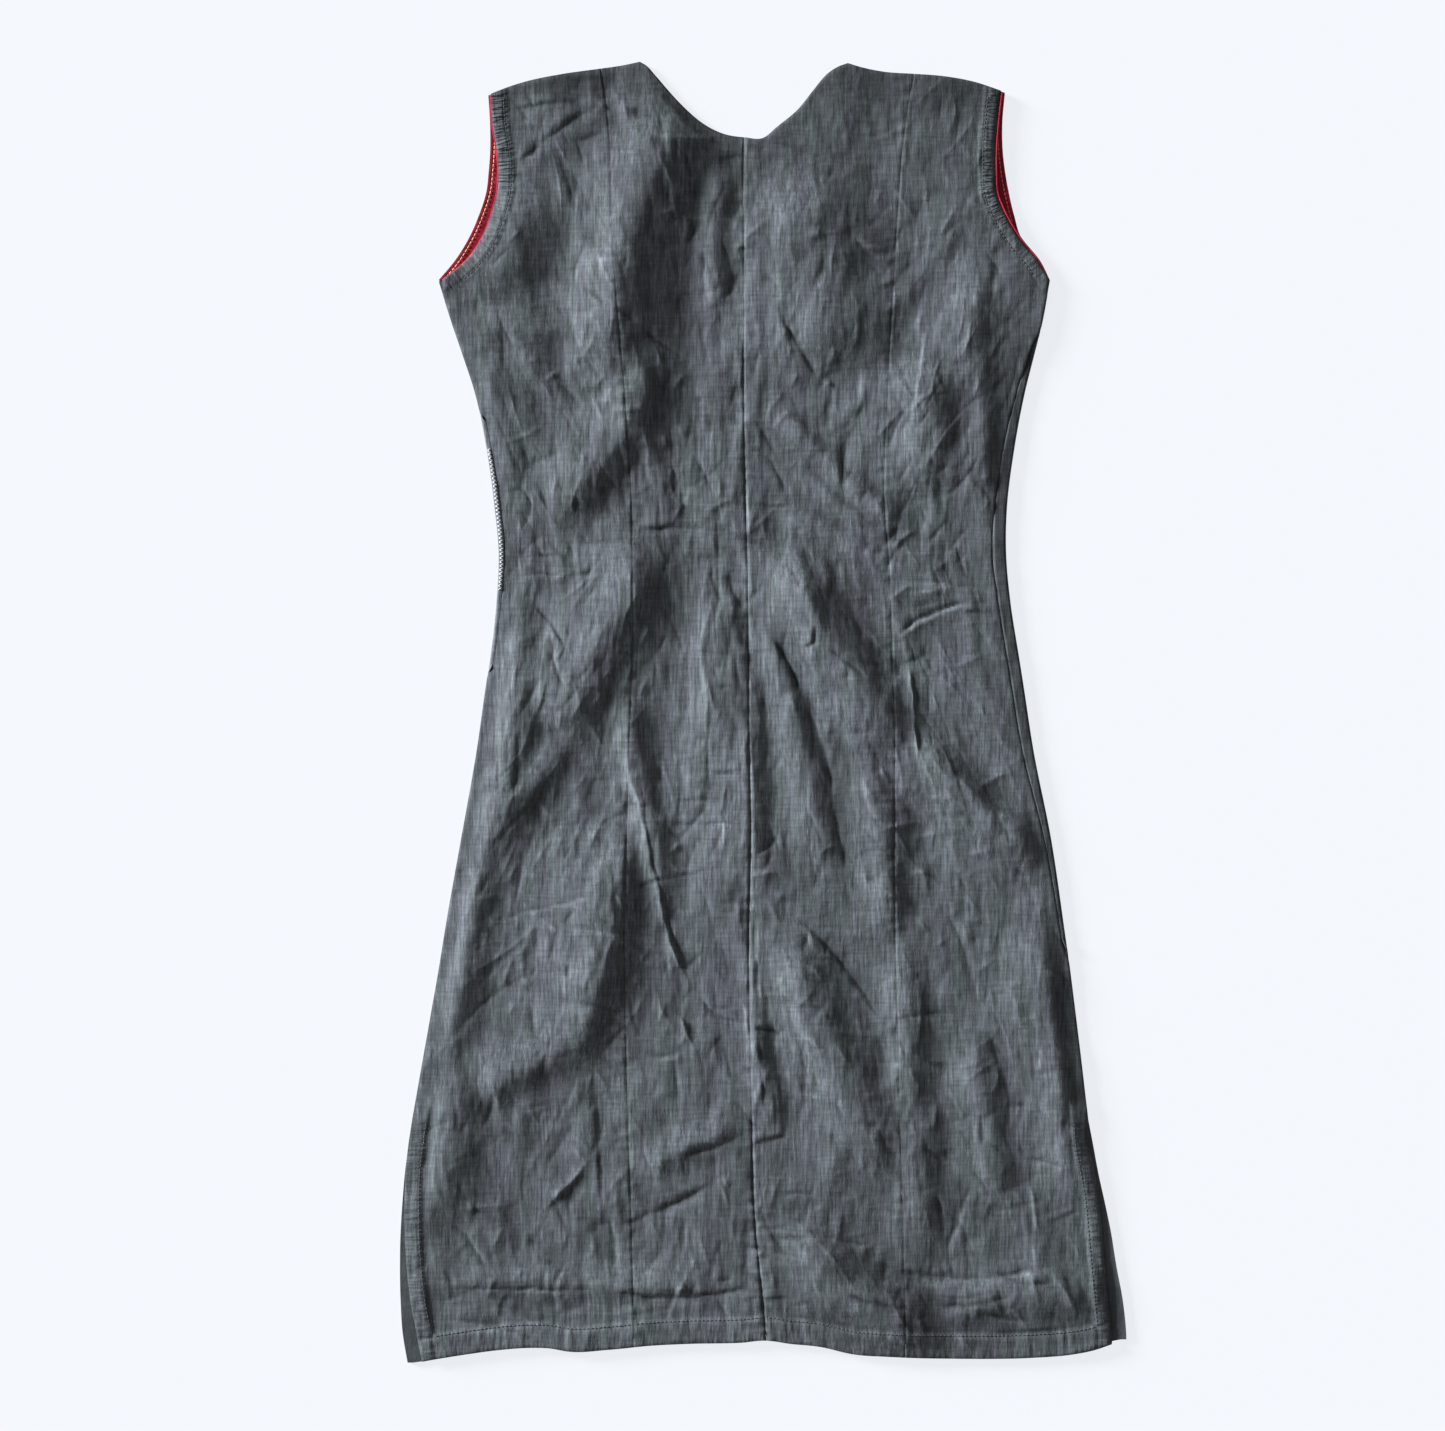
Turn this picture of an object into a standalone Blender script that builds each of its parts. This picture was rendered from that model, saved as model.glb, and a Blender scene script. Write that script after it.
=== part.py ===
# Sleeveless dress with a shaped waist, laid flat with its back upwards.
# X runs across the dress, Y from the hem to the neck, Z up from the surface it lies on.
# Sizes are in millimetres; "down" is measured from the highest point of the shoulders.

import bmesh
import bpy
import numpy as np

MM = 0.001
MIDDLE_ACROSS = 0.087
MIDDLE_DOWN = 490.844
WALL = 1.2
FACING_WALL = 1.0
GAP = 0.3
ROLL_GAP = 0.42
HALF_SEAM = 0.15
HEM_DEPTH = 17.5
SLIT_BAND = 11.0
BAND_STEP = 3.0
ARMHOLE_BASE = 165.0
SLIT_TOP = 797.0
NECK_LEFT = -93.0
NECK_RIGHT = 64.0
SHOULDER_LEVEL = 24.0
HEM_LEVEL = 975.0
BLEND_POWER = 4
EDGE_RADIUS = 1.2
SHORTEST_STRIP = 0.5
FRONT_SHOULDER_SETBACK = 0.8

# Half widths of the armholes, back edge and front edge on both sides.
ARMHOLE = [
    ("down", "back_left", "front_left", "front_right", "back_right"),
    (23, -205.5, -207.5, 182.5, 179.5),
    (48, -204.0, -206.0, 180.5, 176.5),
    (69, -200.5, -206.0, 181.0, 175.0),
    (82, -199.5, -207.0, 182.5, 175.0),
    (99, -200.5, -209.0, 185.5, 176.0),
    (116, -205.0, -214.5, 189.5, 183.0),
    (134, -212.5, -222.5, 195.5, 194.0),
    (150, -224.0, -232.5, 208.5, 207.3),
    (165, -242.5, -245.0, 216.5, 215.7),
]

# Side outline from the armhole to the slit, and how far the seam rolls in over the back.
SIDES = [
    ("down", "left", "right", "left_roll", "right_roll"),
    (165, -245.0, 216.5, 2.5, 0.5),
    (200, -234.0, 210.0, 2.6, 2.9),
    (222, -226.5, 204.5, 2.9, 4.0),
    (248, -218.0, 198.0, 3.0, 6.0),
    (293, -208.5, 189.5, 3.8, 8.3),
    (338, -202.5, 184.0, 5.1, 9.4),
    (372, -199.5, 183.5, 4.9, 10.3),
    (406, -201.0, 186.5, 3.6, 9.0),
    (451, -206.0, 193.5, 3.0, 9.0),
    (470, -209.0, 196.5, 2.9, 8.9),
    (519, -216.0, 204.0, 0.0, 8.3),
    (587, -228.0, 217.5, 0.0, 5.0),
    (655, -240.0, 227.5, 0.0, 3.0),
    (680, -244.0, 231.0, 0.0, 2.9),
    (723, -251.5, 236.5, 0.0, 0.0),
    (797, -264.5, 245.2, 0.0, 0.0),
]

# Open side slits below, back edge and front edge on both sides.
SLITS = [
    ("down", "back_left", "front_left", "front_right", "back_right"),
    (797, -264.5, -264.5, 245.2, 245.2),
    (817, -267.5, -267.5, 249.0, 246.5),
    (841, -270.0, -270.5, 253.5, 251.0),
    (859, -270.5, -272.0, 257.5, 254.0),
    (883, -270.5, -273.5, 262.5, 256.5),
    (908, -269.0, -274.0, 266.5, 258.5),
    (935, -266.0, -273.5, 271.5, 261.0),
    (959, -261.5, -272.0, 274.0, 263.2),
    (983, -257.0, -268.0, 274.0, 262.5),
]

# Long seams of the back: the two shaped ones and the one at the centre.
SEAMS = [
    ("down", "left", "centre", "right"),
    (0, -123.0, -14.0, 116.0),
    (35, -118.0, -14.0, 109.0),
    (66, -115.5, -14.3, 105.0),
    (99, -115.0, -14.5, 102.5),
    (165, -111.5, -14.5, 98.5),
    (248, -104.5, -14.5, 94.0),
    (338, -99.0, -13.0, 91.7),
    (372, -98.5, -12.0, 94.5),
    (451, -98.5, -11.0, 97.5),
    (519, -101.0, -10.3, 99.5),
    (587, -102.8, -9.3, 99.2),
    (655, -104.3, -10.7, 99.7),
    (791, -102.3, -8.7, 103.0),
    (882, -99.2, -5.5, 105.5),
    (935, -98.0, 0.0, 107.0),
    (983, -97.0, 4.0, 107.5),
]

SHOULDER_LEFT = [
    ("across", "down"),
    (-208, 25.7),
    (-199, 21.9),
    (-180, 15.5),
    (-153, 9.8),
    (-123, 5.3),
    (-104, 2.4),
    (-93, 0.0),
]

SHOULDER_RIGHT = [
    ("across", "down"),
    (64, 1.0),
    (73, 3.8),
    (91, 7.5),
    (115, 9.4),
    (137, 11.3),
    (158, 15.1),
    (183, 23.3),
]

NECK_BACK = [
    ("across", "down"),
    (-93, 0.0),
    (-88, 3.0),
    (-81, 10.6),
    (-72, 21.1),
    (-60, 34.0),
    (-45, 46.8),
    (-31, 54.0),
    (-14, 57.0),
    (1, 57.0),
    (10, 49.5),
    (28, 34.0),
    (37, 22.6),
    (48, 9.5),
    (56, 4.0),
    (64, 1.0),
]

# Deeper neckline of the front, hidden under the back.
NECK_FRONT = [
    ("across", "down"),
    (-93, 0.0),
    (-84, 28.0),
    (-70, 66.0),
    (-48, 95.0),
    (-14, 108.0),
    (20, 95.0),
    (41, 66.0),
    (55, 28.0),
    (64, 1.0),
]

HEM_BACK = [
    ("across", "down"),
    (-262, 981.5),
    (-230, 976.2),
    (-203, 972.4),
    (-176, 970.3),
    (-162, 970.6),
    (-146, 973.2),
    (-116, 971.7),
    (-85, 968.7),
    (-54, 967.2),
    (-17, 966.4),
    (3, 964.8),
    (20, 967.2),
    (42, 969.4),
    (69, 975.3),
    (96, 977.0),
    (150, 978.5),
    (205, 977.7),
    (232, 975.5),
    (251, 971.7),
    (264, 967.2),
]

HEM_FRONT = [
    ("across", "down"),
    (-274, 982.5),
    (-257, 980.0),
    (-199, 969.5),
    (-108, 963.5),
    (0, 960.5),
    (103, 967.5),
    (217, 969.5),
    (262, 966.5),
    (274, 964.1),
]

# Facing outline beside an armhole: its inner edge as an offset from its outer one.
FACING = [
    ("share", "inward", "lower", "peek"),
    (0.00, 32, -10.2, 1.0),
    (0.15, 32, -2.0, 1.1),
    (0.35, 32, 0.0, 1.2),
    (0.60, 31, 2.0, 1.2),
    (0.80, 28, 10.0, 1.0),
    (0.92, 22, 21.0, 0.8),
    (1.00, 12, 29.0, 0.4),
]

# Largest folds of the back: crest line from start through middle to end, with a gentle
# slope on its left, a steep one on its right, and its height.
FOLDS = [
    ("x0", "d0", "x1", "d1", "x2", "d2", "gentle", "steep", "height"),
    (-42, 17, -102, 121, -114, 274, 30, 30, 11.0),
    (-97, 183, -103, 268, -172, 348, 26, 18, 6.5),
    (-171, 89, -189, 135, -212, 180, 30, 24, 4.2),
    (-215, 218, -210, 276, -187, 327, 16, 16, 4.0),
    (-82, 345, -118, 430, -164, 527, 34, 22, 8.4),
    (-209, 572, -227, 663, -247, 767, 14, 16, 3.8),
    (-108, 564, -119, 669, -156, 769, 44, 16, 7.2),
    (-123, 713, -168, 751, -230, 780, 20, 15, 4.8),
    (1, 357, 48, 436, 114, 538, 26, 23, 8.8),
    (92, 497, 155, 553, 221, 616, 24, 13, 6.4),
    (7, 73, 36, 156, 57, 246, 40, 42, 8.0),
    (122, 210, 128, 272, 139, 334, 30, 22, 6.4),
    (-13, 382, 21, 485, 53, 643, 14, 13, 4.0),
    (64, 504, 91, 582, 91, 677, 14, 14, 3.9),
    (2, 636, 43, 733, 104, 863, 24, 25, 6.6),
    (105, 641, 111, 776, 130, 920, 16, 14, 4.0),
    (152, 716, 169, 801, 180, 881, 14, 14, 3.6),
    (12, 872, 68, 930, 146, 968, 20, 20, 7.6),
    (274, 932, 197, 928, 117, 943, 20, 16, 4.2),
    (-227, 752, -234, 822, -244, 887, 20, 18, 3.9),
    (-174, 400, -189, 505, -208, 620, 24, 24, 4.2),
    (203, 610, 221, 740, 238, 880, 30, 14, 3.8),
]
FOLD_SAMPLES = 12
FOLD_POWER = 3
FOLD_TAPER = 0.3
FOLD_SIDE_FADE = (1.0, 22.0)
FOLD_TOP_FADE = 14.0

# Room under the back for what lies between it and the front.
REST_LIFT = WALL + GAP
FACING_LIFT = WALL + 2 * FACING_WALL + 3 * GAP
ROLL_LIFT = 2 * EDGE_RADIUS
TURNED_LIFT = 2 * WALL + GAP
FACING_REACH = (50.0, 96.0)
FACING_END = (212.0, 262.0)
ROLL_REACH = (14.0, 40.0)
TURNED_REACH = (18.0, 44.0)
SLIT_LIFT_START = (728.0, 758.0)
BAND_START = (778.0, 797.0)

# Where the rolled edge of the front turns over and lies flat again, left and right.
LEFT_TURN = (222.0, 240.0, 452.0, 470.0)
RIGHT_TURN = (200.0, 218.0, 662.0, 680.0)
TURN_STEPS = 3
ARC_STEPS = 4

BACK_ROWS = [
    24, 34, 46, 58, 70, 82, 94, 106, 118, 129, 139, 148, 157, 165, 176, 188, 200, 213, 227,
    241, 255, 269, 283, 297, 311, 325, 339, 353, 367, 381, 395, 409, 423, 437, 451, 465,
    479, 493, 507, 522, 537, 552, 567, 582, 598, 614, 630, 646, 662, 678, 694, 710, 727,
    744, 761, 779, 797, 814, 831, 848, 865, 881, 897, 912, 926, 940, 954.5, 957.5, 966, 975,
]  # fmt: skip
FRONT_ROWS = [
    24, 36, 50, 64, 78, 92, 106, 120, 132, 143, 154, 165, 180, 200, 206, 212, 218, 222,
    228, 234, 240, 256, 272, 288, 304, 320, 337, 354, 372, 390, 408, 430, 452, 458, 464,
    470, 490, 510, 530, 552, 574, 596, 618, 640, 662, 668, 674, 680, 702, 724, 750, 774,
    797, 820, 845, 870, 900, 930, 954.5, 957.5, 975,
]  # fmt: skip
SIDE_COLUMNS = [0.0, 0.064, 0.083, 0.15, 0.22, 0.3, 0.38, 0.46, 0.55, 0.64, 0.73, 0.82, 0.91, 1.0]
CENTRE_LEFT_COLUMNS = [0.0, 0.14, 0.275, 0.39, 0.51, 0.63, 0.75, 0.87, 1.0]
CENTRE_RIGHT_COLUMNS = [0.0, 0.12, 0.24, 0.36, 0.48, 0.6, 0.73, 0.86, 1.0]
FRONT_COLUMNS = [
    0.0, 0.022, 0.032, 0.12, 0.21, 0.2936, 0.34, 0.40, 0.45, 0.4949, 0.54, 0.59, 0.65,
    0.6962, 0.79, 0.88, 0.968, 0.978, 1.0,
]  # fmt: skip
FACING_COLUMNS = [0.0, 0.35, 0.7, 1.0]
FACING_SHARES = [0.0, 0.1, 0.2, 0.32, 0.44, 0.56, 0.67, 0.76, 0.84, 0.9, 0.95, 1.0]

CLOTH_COLOUR = (0.091, 0.102, 0.112, 1.0)
INSIDE_COLOUR = (0.060, 0.066, 0.073, 1.0)
RED_COLOUR = (0.300, 0.018, 0.032, 1.0)


def column(table, name):
    """All values of one named column of a table."""
    place = table[0].index(name)
    return np.array([row[place] for row in table[1:]], float)


def curve(table, name, at):
    """Smooth value of one column, read at stations of the table's first column."""
    stations = column(table, table[0][0])
    values = column(table, name)
    slopes = np.gradient(values, stations)
    at = np.clip(at, stations[0], stations[-1])
    low = np.clip(np.searchsorted(stations, at) - 1, 0, len(stations) - 2)
    step = stations[low + 1] - stations[low]
    t = (at - stations[low]) / step
    start = (1 + 2 * t) * (1 - t) ** 2 * values[low] + t * (1 - t) ** 2 * step * slopes[low]
    end = t * t * (3 - 2 * t) * values[low + 1] + t * t * (t - 1) * step * slopes[low + 1]
    return start + end


def ramp(value, low, high):
    """Soft step from 0 at low to 1 at high."""
    t = np.clip((value - low) / (high - low), 0, 1)
    return t * t * (3 - 2 * t)


def outline(side, layer, down):
    """Edge of one layer at a depth, through armhole, side seam and slit."""
    name = layer + "_" + side
    beside = curve(SIDES, side, down)
    if layer == "back":
        roll = np.maximum(curve(SIDES, side + "_roll", down), 0)
        inward = roll + np.minimum(roll, ROLL_GAP)
        beside = beside + inward if side == "left" else beside - inward
    armhole = curve(ARMHOLE, name, down)
    slit = curve(SLITS, name, down)
    return np.where(down < ARMHOLE_BASE, armhole, np.where(down < SLIT_TOP, beside, slit))


def top_edge(across, layer):
    """Depth of the shoulder and neck edge."""
    setback = FRONT_SHOULDER_SETBACK if layer == "front" else 0
    neck = curve(NECK_FRONT if layer == "front" else NECK_BACK, "down", across)
    left = curve(SHOULDER_LEFT, "down", across)
    right = curve(SHOULDER_RIGHT, "down", across)
    return setback + np.where(
        across < NECK_LEFT, left, np.where(across < NECK_RIGHT, neck, right)
    )


def hem_edge(across, layer):
    return curve(HEM_FRONT if layer == "front" else HEM_BACK, "down", across)


def plan(left, right, layer, columns, rows):
    """Across and down of a panel's grid between two edge functions."""
    share, level = np.meshgrid(np.array(columns), np.array(rows, float))
    along = (level - SHOULDER_LEVEL) / (HEM_LEVEL - SHOULDER_LEVEL)
    down = level
    for _ in range(14):
        across = left(down) * (1 - share) + right(down) * share
        top = top_edge(across, layer) - SHOULDER_LEVEL
        hem = hem_edge(across, layer) - HEM_LEVEL
        down = level + top * (1 - along) ** BLEND_POWER + hem * along**BLEND_POWER
    return across, down


def turned_band(across, down, layer, lead):
    """1 where the hem or a slit edge is turned in, fading over the step beyond it."""
    hem = ramp(down, *(hem_edge(across, layer) - HEM_DEPTH + np.array(lead)[:, None, None]))
    left = across - outline("left", layer, down)
    right = outline("right", layer, down) - across
    beside = 1 - ramp(np.minimum(left, right), SLIT_BAND - lead[1], SLIT_BAND - lead[0])
    return np.maximum(hem, beside * ramp(down, *BAND_START))


def fold_height(across, down):
    """Height of the large folds above the plain lie of the back."""
    total = np.zeros_like(across)
    t = np.linspace(0, 1, FOLD_SAMPLES)
    for x0, d0, x1, d1, x2, d2, gentle, steep, peak in FOLDS[1:]:
        bend = np.array([[x0, d0], [2 * x1 - (x0 + x2) / 2, 2 * d1 - (d0 + d2) / 2], [x2, d2]])
        weights = np.stack([(1 - t) ** 2, 2 * t * (1 - t), t * t], axis=1)
        line = weights @ bend
        nearest = np.full(across.shape, np.inf)
        signed = np.zeros_like(across)
        along = np.zeros_like(across)
        for step in range(FOLD_SAMPLES - 1):
            a, b = line[step], line[step + 1]
            direction = b - a
            reach = direction @ direction
            place = ((across - a[0]) * direction[0] + (down - a[1]) * direction[1]) / reach
            place = np.clip(place, 0, 1)
            off_x = across - a[0] - place * direction[0]
            off_d = down - a[1] - place * direction[1]
            distance = np.hypot(off_x, off_d)
            closer = distance < nearest
            nearest = np.where(closer, distance, nearest)
            side = np.sign(off_x * direction[1] - off_d * direction[0])
            signed = np.where(closer, distance * side, signed)
            along = np.where(closer, (step + place) / (FOLD_SAMPLES - 1), along)
        width = np.where(signed < 0, gentle, steep)
        ends = ramp(along, 0, FOLD_TAPER) * ramp(1 - along, 0, FOLD_TAPER)
        total += (peak * np.exp(-((signed / width) ** 2)) * ends) ** FOLD_POWER
    height = total ** (1 / FOLD_POWER)
    left = across - curve_edge("left", down)
    right = curve_edge("right", down) - across
    fade = ramp(np.minimum(left, right), *FOLD_SIDE_FADE)
    return height * fade * ramp(down - top_edge(across, "back"), 0, FOLD_TOP_FADE)


def curve_edge(side, down):
    """Outermost edge of the dress at a depth."""
    return outline(side, "front", down)


def back_lie(across, down):
    """Height of the underside of the back."""
    left = across - curve_edge("left", down)
    right = curve_edge("right", down) - across
    inset = np.minimum(left, right)
    facing = (1 - ramp(inset, *FACING_REACH)) * (1 - ramp(down, *FACING_END))
    rolls = (curve(SIDES, "left_roll", down), curve(SIDES, "right_roll", down))
    rolled = np.clip(np.where(left < right, *rolls) / 2.6, 0, 1) * (down < SLIT_TOP)
    roll = (1 - ramp(inset, *ROLL_REACH)) * rolled
    hem = ramp(down, *(hem_edge(across, "front") - np.array((50.0, 24.0))[:, None, None]))
    slit = (1 - ramp(inset, *TURNED_REACH)) * ramp(down, *SLIT_LIFT_START)
    lifts = [
        facing * (FACING_LIFT - REST_LIFT),
        roll * (ROLL_LIFT - REST_LIFT),
        np.maximum(hem, slit) * (TURNED_LIFT - REST_LIFT),
    ]
    return REST_LIFT + np.maximum.reduce(lifts) + fold_height(across, down)


def points(across, down, height):
    """Grid of points in metres about the middle of the dress."""
    return MM * np.stack([across - MIDDLE_ACROSS, MIDDLE_DOWN - down, height + 0 * across], axis=-1)


def slab(name, lower, upper, material):
    """Closed body between two grids of points that have the same rows and columns."""
    rows, columns = lower.shape[:2]
    index = np.arange(rows * columns).reshape(rows, columns)
    mesh = bmesh.new()
    bottom = [mesh.verts.new(p) for p in lower.reshape(-1, 3)]
    top = [mesh.verts.new(p) for p in upper.reshape(-1, 3)]
    for row in range(rows - 1):
        for place in range(columns - 1):
            ring = [index[row, place], index[row + 1, place]]
            ring += [index[row + 1, place + 1], index[row, place + 1]]
            mesh.faces.new([top[i] for i in ring])
            mesh.faces.new([bottom[i] for i in reversed(ring)])
    rim = list(index[:, 0]) + list(index[-1, 1:]) + list(index[-2::-1, -1]) + list(index[0, -2:0:-1])
    for here, there in zip(rim, rim[1:] + rim[:1]):
        mesh.faces.new([top[there], top[here], bottom[here], bottom[there]])
    data = bpy.data.meshes.new(name)
    mesh.to_mesh(data)
    mesh.free()
    for polygon in data.polygons:
        polygon.use_smooth = True
    data.materials.append(material)
    body = bpy.data.objects.new(name, data)
    dress.objects.link(body)
    return body


def cloth_material(name, colour):
    material = bpy.data.materials.new(name)
    material.use_nodes = True
    shader = material.node_tree.nodes["Principled BSDF"]
    shader.inputs["Base Color"].default_value = colour
    shader.inputs["Roughness"].default_value = 0.85
    return material


def back_panel(name, left, right, columns):
    """One panel of the back with its turned hem and slit edge."""
    across, down = plan(left, right, "back", columns, BACK_ROWS)
    lower = back_lie(across, down)
    band = turned_band(across, down, "back", (-BAND_STEP, 0.0))
    upper = lower + WALL * (1 + band)
    material = cloth_material(name, CLOTH_COLOUR)
    slab(name, points(across, down, lower), points(across, down, upper), material)


def turn_of(level, stations):
    """Angle by which the edge of the front is turned over at a level."""
    start, over, back, end = stations
    shares = np.interp(level, [start, over, back, end], [0.0, 1.0, 1.0, 0.0])
    return np.pi * np.round(shares * TURN_STEPS) / TURN_STEPS


def edge_section(turn, strip):
    """Offsets outward and up of both faces of a rolled edge, from where it leaves the surface."""
    length = np.pi * EDGE_RADIUS
    share = np.linspace(0, 1, ARC_STEPS + 1)[1:]
    angle = turn * share
    radius = length / max(turn, 1e-6)
    outward = radius * np.sin(angle) if turn else length * share
    up = radius * (1 - np.cos(angle)) if turn else 0 * share
    outward = np.append(outward, outward[-1] + strip * np.cos(turn))
    up = np.append(up, up[-1] + strip * np.sin(turn)) + WALL / 2
    angle = np.append(angle, turn)
    normal = np.stack([-np.sin(angle), np.cos(angle)]) * WALL / 2
    middle = np.stack([outward, up])
    return middle - normal, middle + normal


def rolled_edge(side, down, levels, stations):
    """Columns of points that continue the front round its edge, and where it starts to curl."""
    sign = -1 if side == "left" else 1
    edge = curve_edge(side, down)
    start = np.zeros_like(down)
    outer = np.zeros((len(down), ARC_STEPS + 1, 2))
    inner = np.zeros_like(outer)
    for row, level in enumerate(levels):
        roll = float(curve(SIDES, side + "_roll", down[row]))
        strip = max(roll - EDGE_RADIUS - WALL / 2, SHORTEST_STRIP)
        below, above = edge_section(turn_of(level, stations), strip)
        reach = max(below[0].max(), above[0].max())
        start[row] = edge[row] - sign * reach
        outer[row] = np.stack([start[row] + sign * below[0], below[1]], axis=1)
        inner[row] = np.stack([start[row] + sign * above[0], above[1]], axis=1)
    return start, outer, inner


def front_panel():
    """The front, lying on its outer side, with both edges rolled up where the seams show."""
    levels = np.array(FRONT_ROWS, float)
    rough_across, rough_down = plan(
        lambda d: curve_edge("left", d), lambda d: curve_edge("right", d), "front", FRONT_COLUMNS, levels
    )
    left_start, left_outer, left_inner = rolled_edge("left", rough_down[:, 0], levels, LEFT_TURN)
    right_start, right_outer, right_inner = rolled_edge("right", rough_down[:, -1], levels, RIGHT_TURN)
    share = (rough_across - rough_across[:, :1]) / (rough_across[:, -1:] - rough_across[:, :1])
    across = left_start[:, None] * (1 - share) + right_start[:, None] * share
    band = turned_band(rough_across, rough_down, "front", (-BAND_STEP, 0.0))
    flat_low = np.zeros_like(across)
    flat_high = WALL * (1 + band)
    left_band = WALL * band[:, :1]
    right_band = WALL * band[:, -1:]
    down = np.concatenate(
        [np.repeat(rough_down[:, :1], ARC_STEPS + 1, axis=1), rough_down, np.repeat(rough_down[:, -1:], ARC_STEPS + 1, axis=1)],
        axis=1,
    )
    low_across = np.concatenate([left_outer[:, ::-1, 0], across, right_outer[:, :, 0]], axis=1)
    low_height = np.concatenate([left_outer[:, ::-1, 1], flat_low, right_outer[:, :, 1]], axis=1)
    high_across = np.concatenate([left_inner[:, ::-1, 0], across, right_inner[:, :, 0]], axis=1)
    high_height = np.concatenate(
        [left_inner[:, ::-1, 1] + left_band, flat_high, right_inner[:, :, 1] + right_band], axis=1
    )
    material = cloth_material("front", INSIDE_COLOUR)
    slab("front", points(low_across, down, low_height), points(high_across, down, high_height), material)


def facing(side, layer, height):
    """Red strip inside one armhole, on the front or under the back."""
    sign = -1 if side == "left" else 1
    share, inward = np.meshgrid(np.array(FACING_SHARES), np.array(FACING_COLUMNS), indexing="ij")
    first = SHOULDER_LEVEL + (1.5 if side == "left" else -0.6)
    outer_down = first + share * (ARMHOLE_BASE - 0.3 - first)
    outer = curve(ARMHOLE, layer + "_" + side, outer_down)
    if layer == "back":
        outer = outer + sign * curve(FACING, "peek", share)
    across = outer - sign * inward * curve(FACING, "inward", share)
    down = outer_down + inward * curve(FACING, "lower", share)
    low = points(across, down, height)
    high = points(across, down, height + FACING_WALL)
    if side == "right":
        low, high = low[:, ::-1], high[:, ::-1]
    name = "armhole_facing_" + layer + "_" + side
    slab(name, low, high, cloth_material(name, RED_COLOUR))


for item in list(bpy.data.objects):
    bpy.data.objects.remove(item)
dress = bpy.data.collections.new("sarafan_dress")
bpy.context.scene.collection.children.link(dress)

front_panel()
for which in ("left", "right"):
    facing(which, "front", WALL + GAP)
    facing(which, "back", WALL + FACING_WALL + 2 * GAP)
back_panel(
    "back_side_left",
    lambda d: outline("left", "back", d),
    lambda d: curve(SEAMS, "left", d) - HALF_SEAM,
    SIDE_COLUMNS,
)
back_panel(
    "back_centre_left",
    lambda d: curve(SEAMS, "left", d) + HALF_SEAM,
    lambda d: curve(SEAMS, "centre", d) - HALF_SEAM,
    CENTRE_LEFT_COLUMNS,
)
back_panel(
    "back_centre_right",
    lambda d: curve(SEAMS, "centre", d) + HALF_SEAM,
    lambda d: curve(SEAMS, "right", d) - HALF_SEAM,
    CENTRE_RIGHT_COLUMNS,
)
back_panel(
    "back_side_right",
    lambda d: curve(SEAMS, "right", d) + HALF_SEAM,
    lambda d: outline("right", "back", d),
    [1 - share for share in reversed(SIDE_COLUMNS)],
)
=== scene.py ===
import math

import bmesh
import bpy
import mathutils
import numpy as np
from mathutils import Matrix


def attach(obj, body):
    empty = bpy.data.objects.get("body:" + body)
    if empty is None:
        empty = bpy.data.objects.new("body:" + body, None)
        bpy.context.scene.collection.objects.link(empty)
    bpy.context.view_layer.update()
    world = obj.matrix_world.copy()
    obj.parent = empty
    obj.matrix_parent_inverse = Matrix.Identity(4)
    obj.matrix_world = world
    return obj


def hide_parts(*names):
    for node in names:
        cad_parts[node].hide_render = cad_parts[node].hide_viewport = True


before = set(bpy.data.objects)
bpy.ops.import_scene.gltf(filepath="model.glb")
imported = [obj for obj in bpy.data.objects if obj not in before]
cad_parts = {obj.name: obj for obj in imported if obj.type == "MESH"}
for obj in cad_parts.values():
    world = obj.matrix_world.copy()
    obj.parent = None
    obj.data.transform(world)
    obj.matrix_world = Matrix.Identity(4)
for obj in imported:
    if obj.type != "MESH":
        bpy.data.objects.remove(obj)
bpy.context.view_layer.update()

for thing in bpy.context.selected_objects:
    thing.select_set(False)

# The front of the dress, the layer that lies against the surface with its inside up.
# It is one panel of thin washed cotton and linen cloth, and its two long edges roll up
# and over, so a strip of it shows outside the side seams of the back.
MM = 0.001
# Places are in millimetres, across to the right and down from the top of the shoulders.
MIDDLE_ACROSS = 0.087
MIDDLE_DOWN = 490.844
WALL = 1.2
ROLL_GAP = 0.12
HEM_DEPTH = 17.5
SLIT_BAND = 11.0
BAND_STEP = 3.0
BAND_ABOVE_SLIT = 19.0
ARMHOLE_BASE = 165.0
SLIT_TOP = 797.0
WAIST_ACROSS = -27.0
WAIST_DOWN = 373.0
NECK_LEFT = -93.0
NECK_RIGHT = 64.0
SHOULDER_LEVEL = 24.0
HEM_LEVEL = 975.0
BLEND_POWER = 4
FITTING_ROUNDS = 14
EDGE_RADIUS = 1.2
ARMHOLE = [
    ("down", "back_left", "front_left", "front_right", "back_right"),
    (23, -205.5, -207.5, 182.5, 179.5),
    (48, -204, -206, 180.5, 176.5),
    (69, -200.5, -206, 181, 175),
    (82, -199.5, -207, 182.5, 175),
    (99, -200.5, -209, 185.5, 176),
    (116, -205, -214.5, 189.5, 183),
    (134, -212.5, -222.5, 195.5, 194),
    (150, -224, -232.5, 208.5, 207.3),
    (165, -242.5, -245, 216.5, 215.7),
]
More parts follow.
